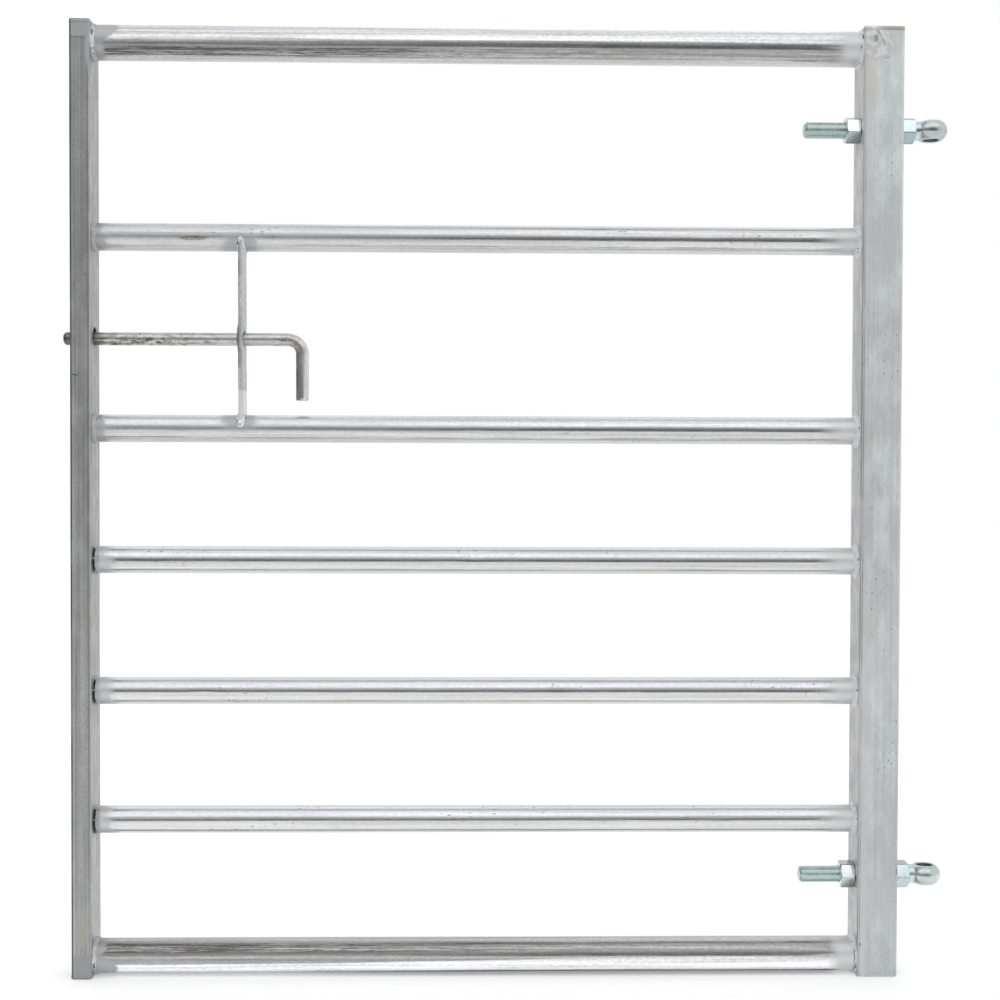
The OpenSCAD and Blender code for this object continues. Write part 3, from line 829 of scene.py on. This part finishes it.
# The zinc's level by height round the tube, which also paints the tube's reflection bands.
# The inner rails are a little darker below. The top rail is worn below, where its level is also
# a dark painted reflection band, and raised above for a painted highlight. The bottom one is the
# top one upside down: worn above with dark painted reflection bands, a painted bright reflection
# band below, and a dark rim under it.
INNER_PROFILE = [(-1, 0.58), (-0.75, 0.60), (-0.55, 0.66), (0.3, 0.66), (1, 0.68)]
TOP_PROFILE = [(-1, 0.60), (-0.8, 0.56), (-0.66, 0.42), (-0.6, 0.34), (-0.5, 0.46), (-0.36, 0.46),
               (-0.27, 0.34), (-0.18, 0.72), (0.12, 0.75), (0.3, 0.72), (0.5, 0.78), (1, 0.82)]
BOTTOM_PROFILE = [(-1, 0.50), (-0.82, 0.75), (-0.7, 0.98), (-0.3, 0.98), (-0.1, 0.76), (0.18, 0.70),
                  (0.25, 0.50), (0.34, 0.29), (0.45, 0.48), (0.62, 0.42), (0.8, 0.38), (0.95, 0.5),
                  (1, 0.55)]
INNER_ZINC = rail_material("rail_zinc", INNER_PROFILE, mm(14, 21), paint_level=1.35)
RAIL_PAINTS = {
    "top_rail": rail_material("top_rail_zinc", TOP_PROFILE, mm(26, 12), streaks=0.35,
                              seam_and_reflection_rise=-0.27, worn=(-0.88, -0.35), dull=0.20,
                              wedge=(-0.18, 0.12, 1.35)),
    "second_rail": rail_material("second_rail_zinc", INNER_PROFILE, mm(9, 14), streaks=0.22,
                                 at_guide=-1, dull=0.22),
    "third_rail": rail_material("third_rail_zinc", INNER_PROFILE, mm(9, 14), streaks=0.22,
                                at_guide=1, dull=0.16),
    "bottom_rail": rail_material("bottom_rail_zinc", BOTTOM_PROFILE, mm(12, 26), streaks=0.35,
                                 seam_and_reflection_rise=0.33, worn=(0.35, 0.88), dull=0.17, blue=(0.3, -0.5),
                                 wedge=(-0.36, 0.03, 0.48), dark_rim=True),
}
HANG_ZINC = hanging_stile_material()
CLOSE_ZINC = closing_stile_material()
WELD_PAINT = weld_material()
SHANK_PLATE = plate_material("eye_bolt_zinc_plate", (0.45, 0.56, 0.55), 0.26)
EYE_PLATE = plate_material("eye_zinc_plate", (0.54, 0.59, 0.59), 0.18, neck=(0.50, 0.62, 0.64))
INNER_NUT_PLATE = nut_material("nut_zinc_plate", (0.86, 0.92, 0.94))
OUTER_NUT_PLATE = nut_material("outer_nut_zinc_plate", (0.68, 0.80, 0.85))
BOLT_ZINC = bolt_material()
GUIDE_ZINC = guide_material()


# ------------------------ rails

def rail(name, seed):
    """A tube with slight waves and dents, and a vent in its front at the closing stile."""
    low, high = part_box(name)
    axis_z, radius = axis_of(name)
    angles = circle(96)
    xs = np.concatenate([[low.x, low.x + VENT_W], np.linspace(low.x + 9 * MM, high.x, 118)])
    outer = around_x(xs[:, None], radius, angles, axis_z)
    swell = 0.05 * MM * waves(outer * [0.22, 1, 1], 60 * MM, seed)
    swell += 0.03 * MM * waves(outer * [0.5, 1, 1], 22 * MM, seed + 50)
    rng = np.random.default_rng(seed + 100)
    for dent_x, dent_angle in zip(rng.uniform(low.x, high.x, 7), rng.normal(0, 0.9, 7)):
        along, across = xs[:, None] - dent_x, nearest(angles - dent_angle) * radius
        distance = (along / (14 * MM)) ** 2 + (across / (6 * MM)) ** 2
        swell -= rng.uniform(0.1, 0.3) * MM * np.exp(-distance)
    outer = around_x(xs[:, None], radius + swell, angles, axis_z)
    inner = around_x(xs[[0, 1, -1], None], radius - RAIL_WALL, angles, axis_z)

    # The cells of the front arc, whose corners all lie within the vent's angle
    turn, ahead = nearest(angles), nearest(angles + angles[1])
    edge = VENT_ANGLE + 1e-6
    in_arc = (abs(turn) < edge) & (abs(ahead) < edge) & (name in VENTED)
    keep = np.ones((len(xs) - 1, len(angles)), bool)
    keep[0] = ~in_arc
    skin = Skin()
    skin.tube(outer, inner, keep)
    if name in VENTED:
        skin.strip(outer[1], inner[1], keep=in_arc[None])
        for side in np.flatnonzero(abs(abs(turn) - VENT_ANGLE) < 1e-3):
            skin.strip(outer[:2, side], inner[:2, side], wrap=False)
    obj = skin.build(name + "_tube")
    points = points_of(obj) - [0, 0, axis_z]
    reach = np.hypot(points[:, 1], points[:, 2])
    store(obj, "rise", points[:, 2] / reach)
    store(obj, "front", -points[:, 1] / reach)
    finish_piece(obj, name, RAIL_PAINTS.get(name, INNER_ZINC))


# ------------------------ stiles and their end plates

def box_outline(low, high, corner, corner_steps=8, flat_steps=7):
    """Points round a box section seen from above, and the outward direction at each."""
    low, high = np.array(low)[:2], np.array(high)[:2]
    middle, half = (low + high) / 2, (high - low) / 2 - corner
    arcs = []
    for quarter in range(4):
        t = quarter * TURN / 4 + np.linspace(0, TURN / 4, corner_steps + 1)
        out = np.stack([np.cos(t), np.sin(t)], -1)
        arcs.append((middle + np.sign(out[corner_steps // 2]) * half + corner * out, out))
    points, outward = [], []
    along = np.linspace(0, 1, flat_steps + 1)[1:-1, None]
    for (place, out), (following, _) in zip(arcs, arcs[1:] + arcs[:1]):
        points += [place, place[-1] + along * (following[0] - place[-1])]
        outward += [out, np.repeat(out[-1:], flat_steps - 1, axis=0)]
    return np.concatenate(points), np.concatenate(outward)


def loft(outline, outward, zs, offsets):
    """Rings of the outline at each height, moved outwards by the offsets."""
    offsets = np.broadcast_to(offsets, (len(zs), len(outline)))
    flat = outline + outward * offsets[..., None]
    return np.dstack([flat, np.broadcast_to(zs[:, None], offsets.shape)])


def stile(name, wall, corner, material, holes, seed):
    low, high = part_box(name)
    outline, outward = box_outline(low, high, corner)
    zs = np.linspace(low.z, high.z, 110)
    plain = loft(outline, outward, zs, 0)
    swell = 0.10 * MM * waves(plain * [1, 1, 0.2], 70 * MM, seed)
    swell += 0.04 * MM * waves(plain * [1, 1, 0.5], 16 * MM, seed + 1)
    skin = Skin()
    skin.tube(loft(outline, outward, zs, swell), loft(outline, outward, zs[[0, -1]], -wall))
    obj = skin.build(name + "_tube")
    for hole_z, hole_r in holes:
        drill_x(obj, ((low.x + high.x) / 2, 0, hole_z), hole_r, 2 * (high.x - low.x))
    finish_piece(obj, name, material)


# An end plate's side, in mm: height over the joint, offset outwards, and size of its lumps
PLATE_ROWS = [(-3.2, -0.35, 0), (-2.4, 0.02, 0.05), (-0.9, 0.28, 0.22), (0.6, 0.30, 0.22),
              (1.8, 0.12, 0.15), (2.55, -0.12, 0.08), (2.88, -0.42, 0.05), (3.0, -0.9, 0)]


def end_plate(name, corner, material, seed):
    """An end plate with its weld dressed flush: a low uneven swell over the joint."""
    low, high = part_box(name)
    up = 1 if low.z > MIDDLE_Z else -1
    joint_z, face_z = (low.z, high.z) if up > 0 else (high.z, low.z)
    outline, outward = box_outline(low, high, corner)
    rise, offsets, lump_size = (np.array(column)[:, None] * MM for column in zip(*PLATE_ROWS))
    zs = joint_z + up * rise[:, 0]
    lumps = waves(loft(outline, outward, zs, offsets), 9 * MM, seed)
    rings = loft(outline, outward, zs, offsets + lumps * lump_size)
    middle = np.array([(low.x + high.x) / 2, (low.y + high.y) / 2, face_z])
    flat = [middle + (rings[-1] - middle) * share * [1, 1, 0] for share in (0.9, 0.6, 0.3)]
    skin = Skin()
    skin.solid(np.concatenate([rings, flat]))
    finish_piece(skin.build(name + "_plate"), name, material, sharp=60)


# ------------------------ weld beads

def bead(skin, face_x, direction, axis_z, radius, angles, legs, seed, closed=False,
         hollow=0.2, ripple_size=0.16 * MM, z_limits=(-9, 9), y_limit=9):
    """A rippled bead in the corner between a face at face_x and a round bar along X.

    legs are its typical widths on the face and along the bar, and hollow goes from 0, a round
    bead, to 1, a deep fillet. The limits keep it on the face.
    """
    base = around_x(face_x, radius, angles, axis_z)
    coarse, fine = waves(base, 11 * MM, seed), waves(base, 5 * MM, seed + 1)
    on_face = legs[0] * (1 + 0.28 * coarse + 0.12 * fine)
    on_bar = legs[1] * (1 + 0.22 * waves(base, 9 * MM, seed + 2) + 0.12 * fine)
    room_y = y_limit / np.maximum(abs(np.cos(angles)), 1e-3)
    room_up = (z_limits[1] - axis_z) / np.maximum(np.sin(angles), 1e-3)
    room_down = (axis_z - z_limits[0]) / np.maximum(-np.sin(angles), 1e-3)
    room = np.minimum(np.minimum(room_y, room_up), room_down) - radius
    on_face = np.clip(np.minimum(on_face, room), 0.5 * MM, None)
    if not closed:
        taper = np.sin(np.linspace(0.15, math.pi - 0.15, len(angles))) ** 0.35
        on_face, on_bar = on_face * taper, on_bar * taper

    bend = np.linspace(0, TURN / 4, 7)
    ripple_count = round(abs(angles[-1] - angles[0]) * radius / (2.6 * MM))
    share = (angles - angles[0]) / (angles[-1] - angles[0])
    ripple = np.sin(TURN * ripple_count * share[:, None] - 1.6 * np.sin(2 * bend))
    swell = (ripple_size * ripple + 0.2 * MM * coarse[:, None]) * np.sin(2 * bend) ** 0.7
    along_shape = (1 - hollow) * np.sin(bend) ** 0.85 + hollow * (1 - np.cos(bend))
    out_shape = (1 - hollow) * np.cos(bend) ** 0.85 + hollow * (1 - np.sin(bend))
    along = on_bar[:, None] * along_shape + swell * np.sin(bend)
    out = on_face[:, None] * out_shape + swell * np.cos(bend)

    # Closed at the back by a foot that is sunk into the face and the bar
    foot = np.full((len(angles), 1), -0.5 * MM)
    along = np.concatenate([foot, along, along[:, -1:], foot], 1)
    out = np.concatenate([out[:, :1], out, foot, foot], 1)
    section = around_x(face_x + direction * along, radius + out, angles[:, None], axis_z)
    if closed:
        skin.grid(np.concatenate([section, section[:1]]))
    else:
        skin.solid(section)


def lump(skin, centre, radii, seed):
    """A blob of weld metal: a rounded lump whose radii vary."""
    polar, turn = np.linspace(0.12, math.pi - 0.12, 12)[:, None], circle(20)
    unit = np.stack([np.sin(polar) * np.cos(turn), np.sin(polar) * np.sin(turn),
                     np.cos(polar) + 0 * turn], -1)
    shape = unit * (1 + 0.16 * waves(unit, 1.5, seed))[..., None]
    skin.solid(np.array(centre) + shape * np.array(radii))


def stile_beads(name, face_x, direction, y_limit, vented, seed):
    """The beads round the rails' ends at a stile. With vents, the beads are rounder and rougher."""
    skin = Skin()
    legs = mm(1.9, 4.6) if vented else mm(3.8, 5.2)
    common = dict(z_limits=(LOW_Z + 0.4 * MM, HIGH_Z - 0.4 * MM), y_limit=y_limit,
                  hollow=0.45 if vented else 0.7, ripple_size=(0.14 if vented else 0.07) * MM)
    for number, node in enumerate(RAILS):
        axis_z, radius = axis_of(node)
        rail_seed = seed + 10 * number
        if not (vented and node in VENTED):
            bead(skin, face_x, direction, axis_z, radius, circle(150), legs, rail_seed, closed=True,
                 **common)
            continue
        around = np.linspace(VENT_ANGLE, TURN - VENT_ANGLE, 110)
        bead(skin, face_x, direction, axis_z, radius, around, legs, rail_seed, **common)
        burr = np.linspace(-VENT_ANGLE * 1.15, VENT_ANGLE * 1.15, 60)
        bead(skin, face_x + VENT_W + 0.4 * MM, direction, axis_z, radius - 0.3 * MM, burr,
             mm(1.5, 5.2), rail_seed + 5)
        bridge = around_x(face_x + 0.6 * VENT_W, radius - 0.4 * MM, BRIDGE_ANGLE, axis_z)
        lump(skin, bridge, mm(2.4, 1.2, 1.0), rail_seed + 7)
    finish_piece(skin.build(name + "_beads"), name, WELD_PAINT, sharp=75)


def guide_beads():
    """Beads along the guide's two sides at both rails, with a lump at their front and back ends."""
    skin = Skin()
    spread = math.asin(min((guide_high.y - guide_low.y) / 2 / INNER_R, 0.99))
    for number, (node, up) in enumerate((("second_rail", -1), ("third_rail", 1))):
        axis_z, radius = axis_of(node)
        middle = up * TURN / 4
        angles = np.linspace(middle - spread, middle + spread, 60)
        for side, face_x in ((-1, guide_low.x), (1, guide_high.x)):
            bead(skin, face_x, side, axis_z, radius, angles, mm(3.0, 2.4), 300 + 20 * number + side)
        to_front = -up * (spread - 0.02)
        for turn, size, lump_seed in ((to_front, mm(4.2, 2.4, 4.6), 340 + number),
                                      (-to_front, mm(4.0, 2.2, 4.0), 350 + number)):
            place = around_x(GUIDE_X, radius + 0.4 * MM, middle + turn, axis_z)
            lump(skin, place, size, lump_seed)
    finish_piece(skin.build("bolt_guide_welds_beads"), "bolt_guide_welds", WELD_PAINT,
                 sharp=75)


# ------------------------ bolt guide

def bolt_guide():
    """A flat bar, coped at both rails, whose front strip bulges round the bolt's punched hole."""
    half_t, half_d = (guide_high.x - guide_low.x) / 2, (guide_high.y - guide_low.y) / 2
    hole_z = BOLT_Z + GUIDE_HOLE_RISE
    hole_low, hole_high = hole_z - GUIDE_HOLE_R - 5 * MM, hole_z + GUIDE_HOLE_R + 5 * MM
    share = np.linspace(0, 1, 13)
    below, above = np.linspace(0, 1, 34)[:-1], np.linspace(0, 1, 30)[1:]
    beside = hole_z - GUIDE_HOLE_R * np.cos(np.linspace(0, math.pi, 25))
    beside = np.concatenate([[hole_low], beside, [hole_high]])

    def half_sheet(side):
        """Depth and height of every point on one half of the bar's face."""
        hole_y = np.sqrt(np.clip(GUIDE_HOLE_R ** 2 - (beside - hole_z) ** 2, 0, None))
        flat_y = half_d * (1 - share)
        cope = np.sqrt(INNER_R ** 2 - flat_y ** 2)
        start, end = THIRD_Z + cope, SECOND_Z - cope
        rows = [(flat_y, start + (hole_low - start) * t) for t in below]
        rows += [(half_d + (y - half_d) * share, z + 0 * share) for z, y in zip(beside, hole_y)]
        rows += [(flat_y, hole_high + (end - hole_high) * t) for t in above]
        depth, height = np.moveaxis(np.array(rows), 1, 0)
        return depth * side, height

    def place(x, depth, height):
        points = np.stack([np.full(depth.shape, x), depth, height], -1)
        front = smooth(-depth, 2 * MM, 14 * MM)
        bulge = np.exp(-((height - hole_z + 2 * MM) / (10 * MM)) ** 2) * front
        lip = np.exp(-((height - hole_z - 11 * MM) / (4 * MM)) ** 2) * front
        points[..., 0] += GUIDE_X - 2.4 * MM * bulge - 0.9 * MM * lip
        points[..., 0] += 0.25 * MM * waves(points * [0, 0.4, 1], 40 * MM, 41)
        points[..., 1] += 0.15 * MM * waves(points * [0, 1, 1], 25 * MM, 42)
        return points

    skin = Skin()
    in_hole = slice(len(below) + 1, len(below) + len(beside) - 1)
    for side in (-1, 1):
        depth, height = half_sheet(side)
        left, right = (place(x, depth, height) for x in (-half_t, half_t))
        skin.grid(left, wrap=False)
        skin.grid(right, wrap=False)
        for edge in (np.s_[:, 0], np.s_[0], np.s_[-1], np.s_[in_hole, -1]):
            skin.strip(left[edge], right[edge], wrap=False)
    obj = skin.build("bolt_guide_bar")
    bevel = obj.modifiers.new("bevel", "BEVEL")
    bevel.width, bevel.segments, bevel.use_clamp_overlap = 0.9 * MM, 2, True
    bevel.limit_method, bevel.angle_limit = "ANGLE", math.radians(50)
    apply_modifiers(obj)
    finish_piece(obj, "bolt_guide", GUIDE_ZINC, sharp=50)


# ------------------------ slide bolt

def slide_bolt():
    """One bent bar: a chamfered, hammered tip, a bend a little flattened, and a cropped end."""
    bend_x, bend_z = HANDLE_X - BEND_R, BOLT_Z - BEND_R
    tip_x, end_z = bolt_low.x, bolt_low.z
    tip_share = 1 - TIP_CHAMFER / BOLT_R
    # Each ring: x and z of its centre, slope of the bar, and its share of the full radius
    rings = [(tip_x, BOLT_Z, 0, 0.02), (tip_x, BOLT_Z, 0, 0.45), (tip_x, BOLT_Z, 0, tip_share - 0.03),
             (tip_x + 0.3 * MM, BOLT_Z, 0, tip_share + 0.03),
             (tip_x + TIP_CHAMFER - 0.4 * MM, BOLT_Z, 0, 0.955),
             (tip_x + TIP_CHAMFER + 0.4 * MM, BOLT_Z, 0, 0.99)]
    rings += [(x, BOLT_Z, 0, 1) for x in np.linspace(tip_x + TIP_CHAMFER + 2 * MM, bend_x, 64)]
    rings += [(bend_x + BEND_R * math.sin(slope), bend_z + BEND_R * math.cos(slope), slope, 1)
              for slope in np.linspace(0, TURN / 4, 19)[1:]]
    rings += [(HANDLE_X, z, TURN / 4, 1) for z in np.linspace(bend_z, end_z + 0.6 * MM, 16)[1:]]
    rings += [(HANDLE_X, z, TURN / 4, share)
              for z, share in ((end_z + 0.1 * MM, 0.95), (end_z, 0.85), (end_z, 0.03))]

    centre_x, centre_z, slopes, shares = np.array(rings).T[..., None]
    angles = circle(48)
    bent = np.sin(2 * slopes) ** 2
    across = -BOLT_R * shares * (1 + 0.02 * bent) * np.cos(angles)
    up = BOLT_R * shares * (1 - 0.03 * bent * (np.sin(angles) > 0)) * np.sin(angles)
    outward = np.stack([up * np.sin(slopes), across, up * np.cos(slopes)], -1)
    points = outward + np.stack([centre_x, 0 * centre_x, centre_z], -1)
    outward /= np.linalg.norm(outward, axis=-1, keepdims=True)
    wear = 0.07 * MM * waves(points, 30 * MM, 61) + 0.05 * MM * waves(points, 7 * MM, 62)
    points += outward * (np.clip(shares * 2 - 1, 0, 1) * wear)[..., None]
    skin = Skin()
    skin.solid(points)
    obj = skin.build("slide_bolt_bar")

    # Each point's place on the bar as if it were straight, for the paint
    x, y, z = points_of(obj).T
    past_x, over_z = x - bend_x, z - bend_z
    turned = np.arctan2(np.clip(past_x, 0, None), np.clip(over_z, 1e-9, None))
    on_bend = BEND_R * turned - np.clip(over_z, None, 0)
    along = bend_x - tip_x + np.where(past_x < 0, past_x, on_bend)
    up = np.where(past_x < 0, over_z, np.where(over_z < 0, past_x, np.hypot(past_x, over_z)))
    store(obj, "unbent", np.stack([along, y, up - BEND_R], -1))
    finish_piece(obj, "slide_bolt", BOLT_ZINC, sharp=45, body="bolt")


# ------------------------ hinge eye bolts and nuts

def threaded_shank(name, start_x, end_x, axis_z):
    """A rolled thread with a chamfered start, as a height field round its axis."""
    step = THREAD_PITCH / 10
    xs = start_x + np.arange(int((end_x - start_x) / step) + 1)[:, None] * step
    angles = circle(56)
    phase = (xs / THREAD_PITCH - angles / TURN) % 1
    radius = SHANK_R - THREAD_DEPTH * (1 - smooth(abs(2 * phase - 1), 0.05, 0.75))
    start_r = SHANK_R - SHANK_CHAMFER
    radius = np.minimum(radius, start_r + (xs - start_x))
    points = around_x(xs, radius, angles, axis_z)
    start = around_x(start_x, 0.9 * start_r, angles, axis_z)
    skin = Skin()
    skin.grid(points)
    skin.strip(points[0], start)
    skin.lid(start)
    skin.lid(points[-1])
    return skin.build(name)


def forged_eye(name, low, high, neck_x):
    """Eye and neck fused and smoothed into one forging, round the hinge axis at x 0."""
    axis_z, half_h = (low.z + high.z) / 2, (high.z - low.z) / 2
    lean = math.asin(half_h / EYE_SIDE_R)
    arc = np.linspace(-lean, lean, 19)
    chamfer = 0.8 * MM
    bore = np.array([chamfer, 0, 0, chamfer]) + EYE_BORE_R
    radial = np.concatenate([high.x - EYE_SIDE_R + EYE_SIDE_R * np.cos(arc), bore])
    height = np.concatenate([EYE_SIDE_R * np.sin(arc),
                             [half_h, half_h - chamfer, -half_h + chamfer, -half_h]])
    turns = np.linspace(0, TURN, 97)[:, None]
    skin = Skin()
    skin.grid(np.stack([radial * np.cos(turns), radial * np.sin(turns),
                        axis_z + height + 0 * turns], -1))
    nut_face_x, flare_x = neck_x + 8 * MM, -EYE_BORE_R - 6 * MM
    neck = np.array([(neck_x, SHANK_R - 0.6 * MM), (nut_face_x - 0.3 * MM, SHANK_R - 0.1 * MM),
                     (nut_face_x + 0.1 * MM, NECK_R - 0.7 * MM), (flare_x - 2.5 * MM, NECK_R - 0.2 * MM),
                     (flare_x, NECK_R), (-EYE_BORE_R - 1.5 * MM, NECK_R - 0.8 * MM)])
    skin.solid(around_x(neck[:, :1], neck[:, 1:], circle(48), axis_z))
    obj = skin.build("forging")
    remesh = obj.modifiers.new("fuse", "REMESH")
    remesh.mode, remesh.voxel_size = "VOXEL", 0.55 * MM
    soften = obj.modifiers.new("soften", "SMOOTH")
    soften.factor, soften.iterations = 0.5, 6
    apply_modifiers(obj)
    obj.name = obj.data.name = name
    return obj


def eye_bolt(name):
    low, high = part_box(name)
    neck_x = hang_high.x + 10 * MM
    shank = threaded_shank(name + "_shank", low.x, neck_x + 6 * MM, (low.z + high.z) / 2)
    eye = forged_eye(name + "_eye", low, high, neck_x)
    finish_piece(shank, name, SHANK_PLATE, sharp=50)
    finish_piece(eye, name, EYE_PLATE, sharp=60)


def nut(name, turn, paint):
    """A chamfered hexagon nut, its front flat turned up: the chamfer meets each flat in a curve."""
    low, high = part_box(name)
    axis_z, flat_r = axis_of(name)
    face_r, bore_r = 0.95 * flat_r, SHANK_R + 0.05 * MM
    slope, sixth = math.tan(math.radians(30)), TURN / 6
    angles = circle(180)
    corner = flat_r / math.cos(sixth / 2) - 0.35 * MM
    hexagon = np.minimum(flat_r / np.cos(nearest(angles - turn, sixth)), corner)
    fall = (hexagon - face_r) * slope
    # Each ring from the bore out to the flats: how deep it lies, and its radius
    rings = [(1.1 * MM, bore_r), (0, bore_r + 1.0 * MM), (0, face_r - 0.2 * MM),
             (0.06 * MM, face_r), (fall, hexagon - 0.06 * MM), (fall + 0.25 * MM, hexagon)]
    rows = [around_x(low.x + depth, radius, angles, axis_z) for depth, radius in rings]
    rows += [around_x(high.x - depth, radius, angles, axis_z) for depth, radius in reversed(rings)]
    skin = Skin()
    skin.grid(np.stack(rows + rows[:1]))
    obj = skin.build(name + "_hex")

    # 1 along the edges between flats and most of 1 on the chamfers, for the paint's darker edges and its
    # painted shade on the chamfers
    x, y, z = points_of(obj).T
    off_flat = abs(nearest(np.arctan2(z - axis_z, -y) - turn, sixth))
    corner_darkening = smooth(off_flat, sixth / 2 - 0.09, sixth / 2 - 0.02)
    chamfer_end = (flat_r / np.cos(off_flat) - face_r) * slope + 0.1 * MM
    on_chamfer = np.minimum(x - low.x, high.x - x) < chamfer_end
    on_chamfer &= np.hypot(y, z - axis_z) > face_r - 0.1 * MM
    store(obj, "edge", np.maximum(corner_darkening, 0.7 * on_chamfer))
    finish_piece(obj, name, paint, sharp=25)


# ------------------------ the object

for number, rail_name in enumerate(RAILS):
    rail(rail_name, seed=10 + number)
shank_holes = [(axis_of(name)[0], SHANK_HOLE_R) for name in ("upper_inner_nut", "lower_inner_nut")]
stile("hanging_stile", HANG_WALL, HANG_CORNER, HANG_ZINC, shank_holes, seed=21)
stile("closing_stile", CLOSE_WALL, CLOSE_CORNER, CLOSE_ZINC,
      [(BOLT_Z + STILE_HOLE_RISE, STILE_HOLE_R)], seed=23)
for number, end in enumerate(("top", "bottom")):
    end_plate(f"hanging_stile_{end}_cap", HANG_CORNER, HANG_ZINC, seed=31 + number)
    end_plate(f"closing_stile_{end}_cap", CLOSE_CORNER, CLOSE_ZINC,
              seed=33 + number)
stile_beads("hanging_stile_welds", HANG_X, -1, 22.6 * MM, vented=False, seed=110)
stile_beads("closing_stile_welds", CLOSE_X, 1, 23.2 * MM, vented=True, seed=210)
guide_beads()
bolt_guide()
slide_bolt()
for place, turn in (("upper", UPPER_NUT_TURN), ("lower", LOWER_NUT_TURN)):
    eye_bolt(f"{place}_eye_bolt")
    nut(f"{place}_inner_nut", turn, INNER_NUT_PLATE)
    nut(f"{place}_outer_nut", turn, OUTER_NUT_PLATE)


# ------------------------ studio

def floor():
    """A pale floor in plain light. Rays from the camera and off metal see it lifted to white.

    It ends a little way in front of the gate, where the unlit room begins.
    """
    p = Paint("studio_floor")
    camera_ray, glossy_ray, through_ray = p.rays()
    away = p.value("VectorMath", {0: p.place}, "Value", operation="LENGTH")
    lift = p.step(away, 1.0, 6.0, 0.29, 0.34)
    # Off metal, the floor glows brighter still within about half a metre of the gate: a painted
    # reflection low on the bottom rail
    lift += glossy_ray * p.step(abs(p.y), 0.15, 0.7, 0.2, 0)
    seen = camera_ray | (glossy_ray | through_ray)
    p.set(Base_Color=p.mix(p.noise(3, 3, 3, detail=3), grey(0.80), grey(0.82)), Roughness=0.9,
          Emission_Color=grey(1.0), Emission_Strength=seen * lift)
    size, front = 12.0, 3.0
    xs, ys = np.meshgrid(np.linspace(-size, size, 5), np.linspace(-front, size, 5), indexing="ij")
    skin = Skin()
    skin.grid(np.stack([xs, ys, np.full(xs.shape, LOW_Z)], -1), wrap=False)
    obj = skin.build("studio_floor")
    obj.location.z = -0.5 * MM
    obj.data.materials.append(p.material)


def world():
    """White surroundings, lit plainly. Metal sees them white too, but for the studio's dark side:
    the unlit room low in front of the gate, darker to the left than to the right."""
    w = WorldPaint("studio")
    dark_side = w.ramp(w.z, [(0.0, grey(0.16)), (0.07, grey(0.17)), (0.2, grey(0.40)),
                             (0.36, grey(0.70)), (0.5, grey(0.94)), (0.64, grey(1.08)),
                             (1.0, grey(1.1))])
    dark_side = w.mix(0.9 * w.step(w.x, 0.25, 0.85), dark_side, grey(1.02))
    low_left = w.step(w.x, -0.35, -0.85) * w.fade(w.z, 0.2, 0.8)
    back = w.mix(0.85 * low_left, grey(0.92), grey(0.12))
    in_metal = w.mix(w.fade(w.y, -0.25, 0.35), back, dark_side)
    camera_ray, glossy_ray, through_ray = w.rays()
    colour = w.mix(glossy_ray, grey(0.92), in_metal)
    w.set(Color=w.mix(camera_ray | through_ray, colour, grey(1.0)))


def softbox(name, location, target, size, radiance):
    light = bpy.data.lights.new(name, "AREA")
    light.shape, light.size, light.size_y = "RECTANGLE", *size
    light.energy = radiance * math.pi * size[0] * size[1]
    obj = add_object(name, light)
    obj.location = location
    obj.rotation_euler = (Vector(target) - Vector(location)).to_track_quat("-Z", "Y").to_euler()


def camera():
    """1.85 m in front of the gate's face, near the middle of its height.

    Its small shift frames the gate as the photograph does, which is cut from a wider view.
    """
    data = bpy.data.cameras.new("camera")
    data.sensor_width = 36
    data.lens = 54.42
    data.shift_x, data.shift_y = 0.0133, 0.0280
    obj = add_object("camera", data)
    place = Matrix.Translation((MIDDLE_X - 0.0399, close_low.y - 1.85, LOW_Z + 0.5937))
    for degrees, axis in ((-1.190, "Z"), (-1.212, "X"), (-0.175, "Y"), (90, "X")):
        place = place @ Matrix.Rotation(math.radians(degrees), 4, axis)
    obj.matrix_world = place
    bpy.context.scene.camera = obj


floor()
world()
middle = (MIDDLE_X, 0, MIDDLE_Z)
softbox("front_softbox", (MIDDLE_X, -2.0, 2.7), middle, (5.0, 2.0), 0.36)
softbox("back_softbox", (MIDDLE_X, 1.9, 2.9), middle, (4.0, 1.6), 0.25)
camera()
bpy.context.scene.view_settings.view_transform = "Standard"
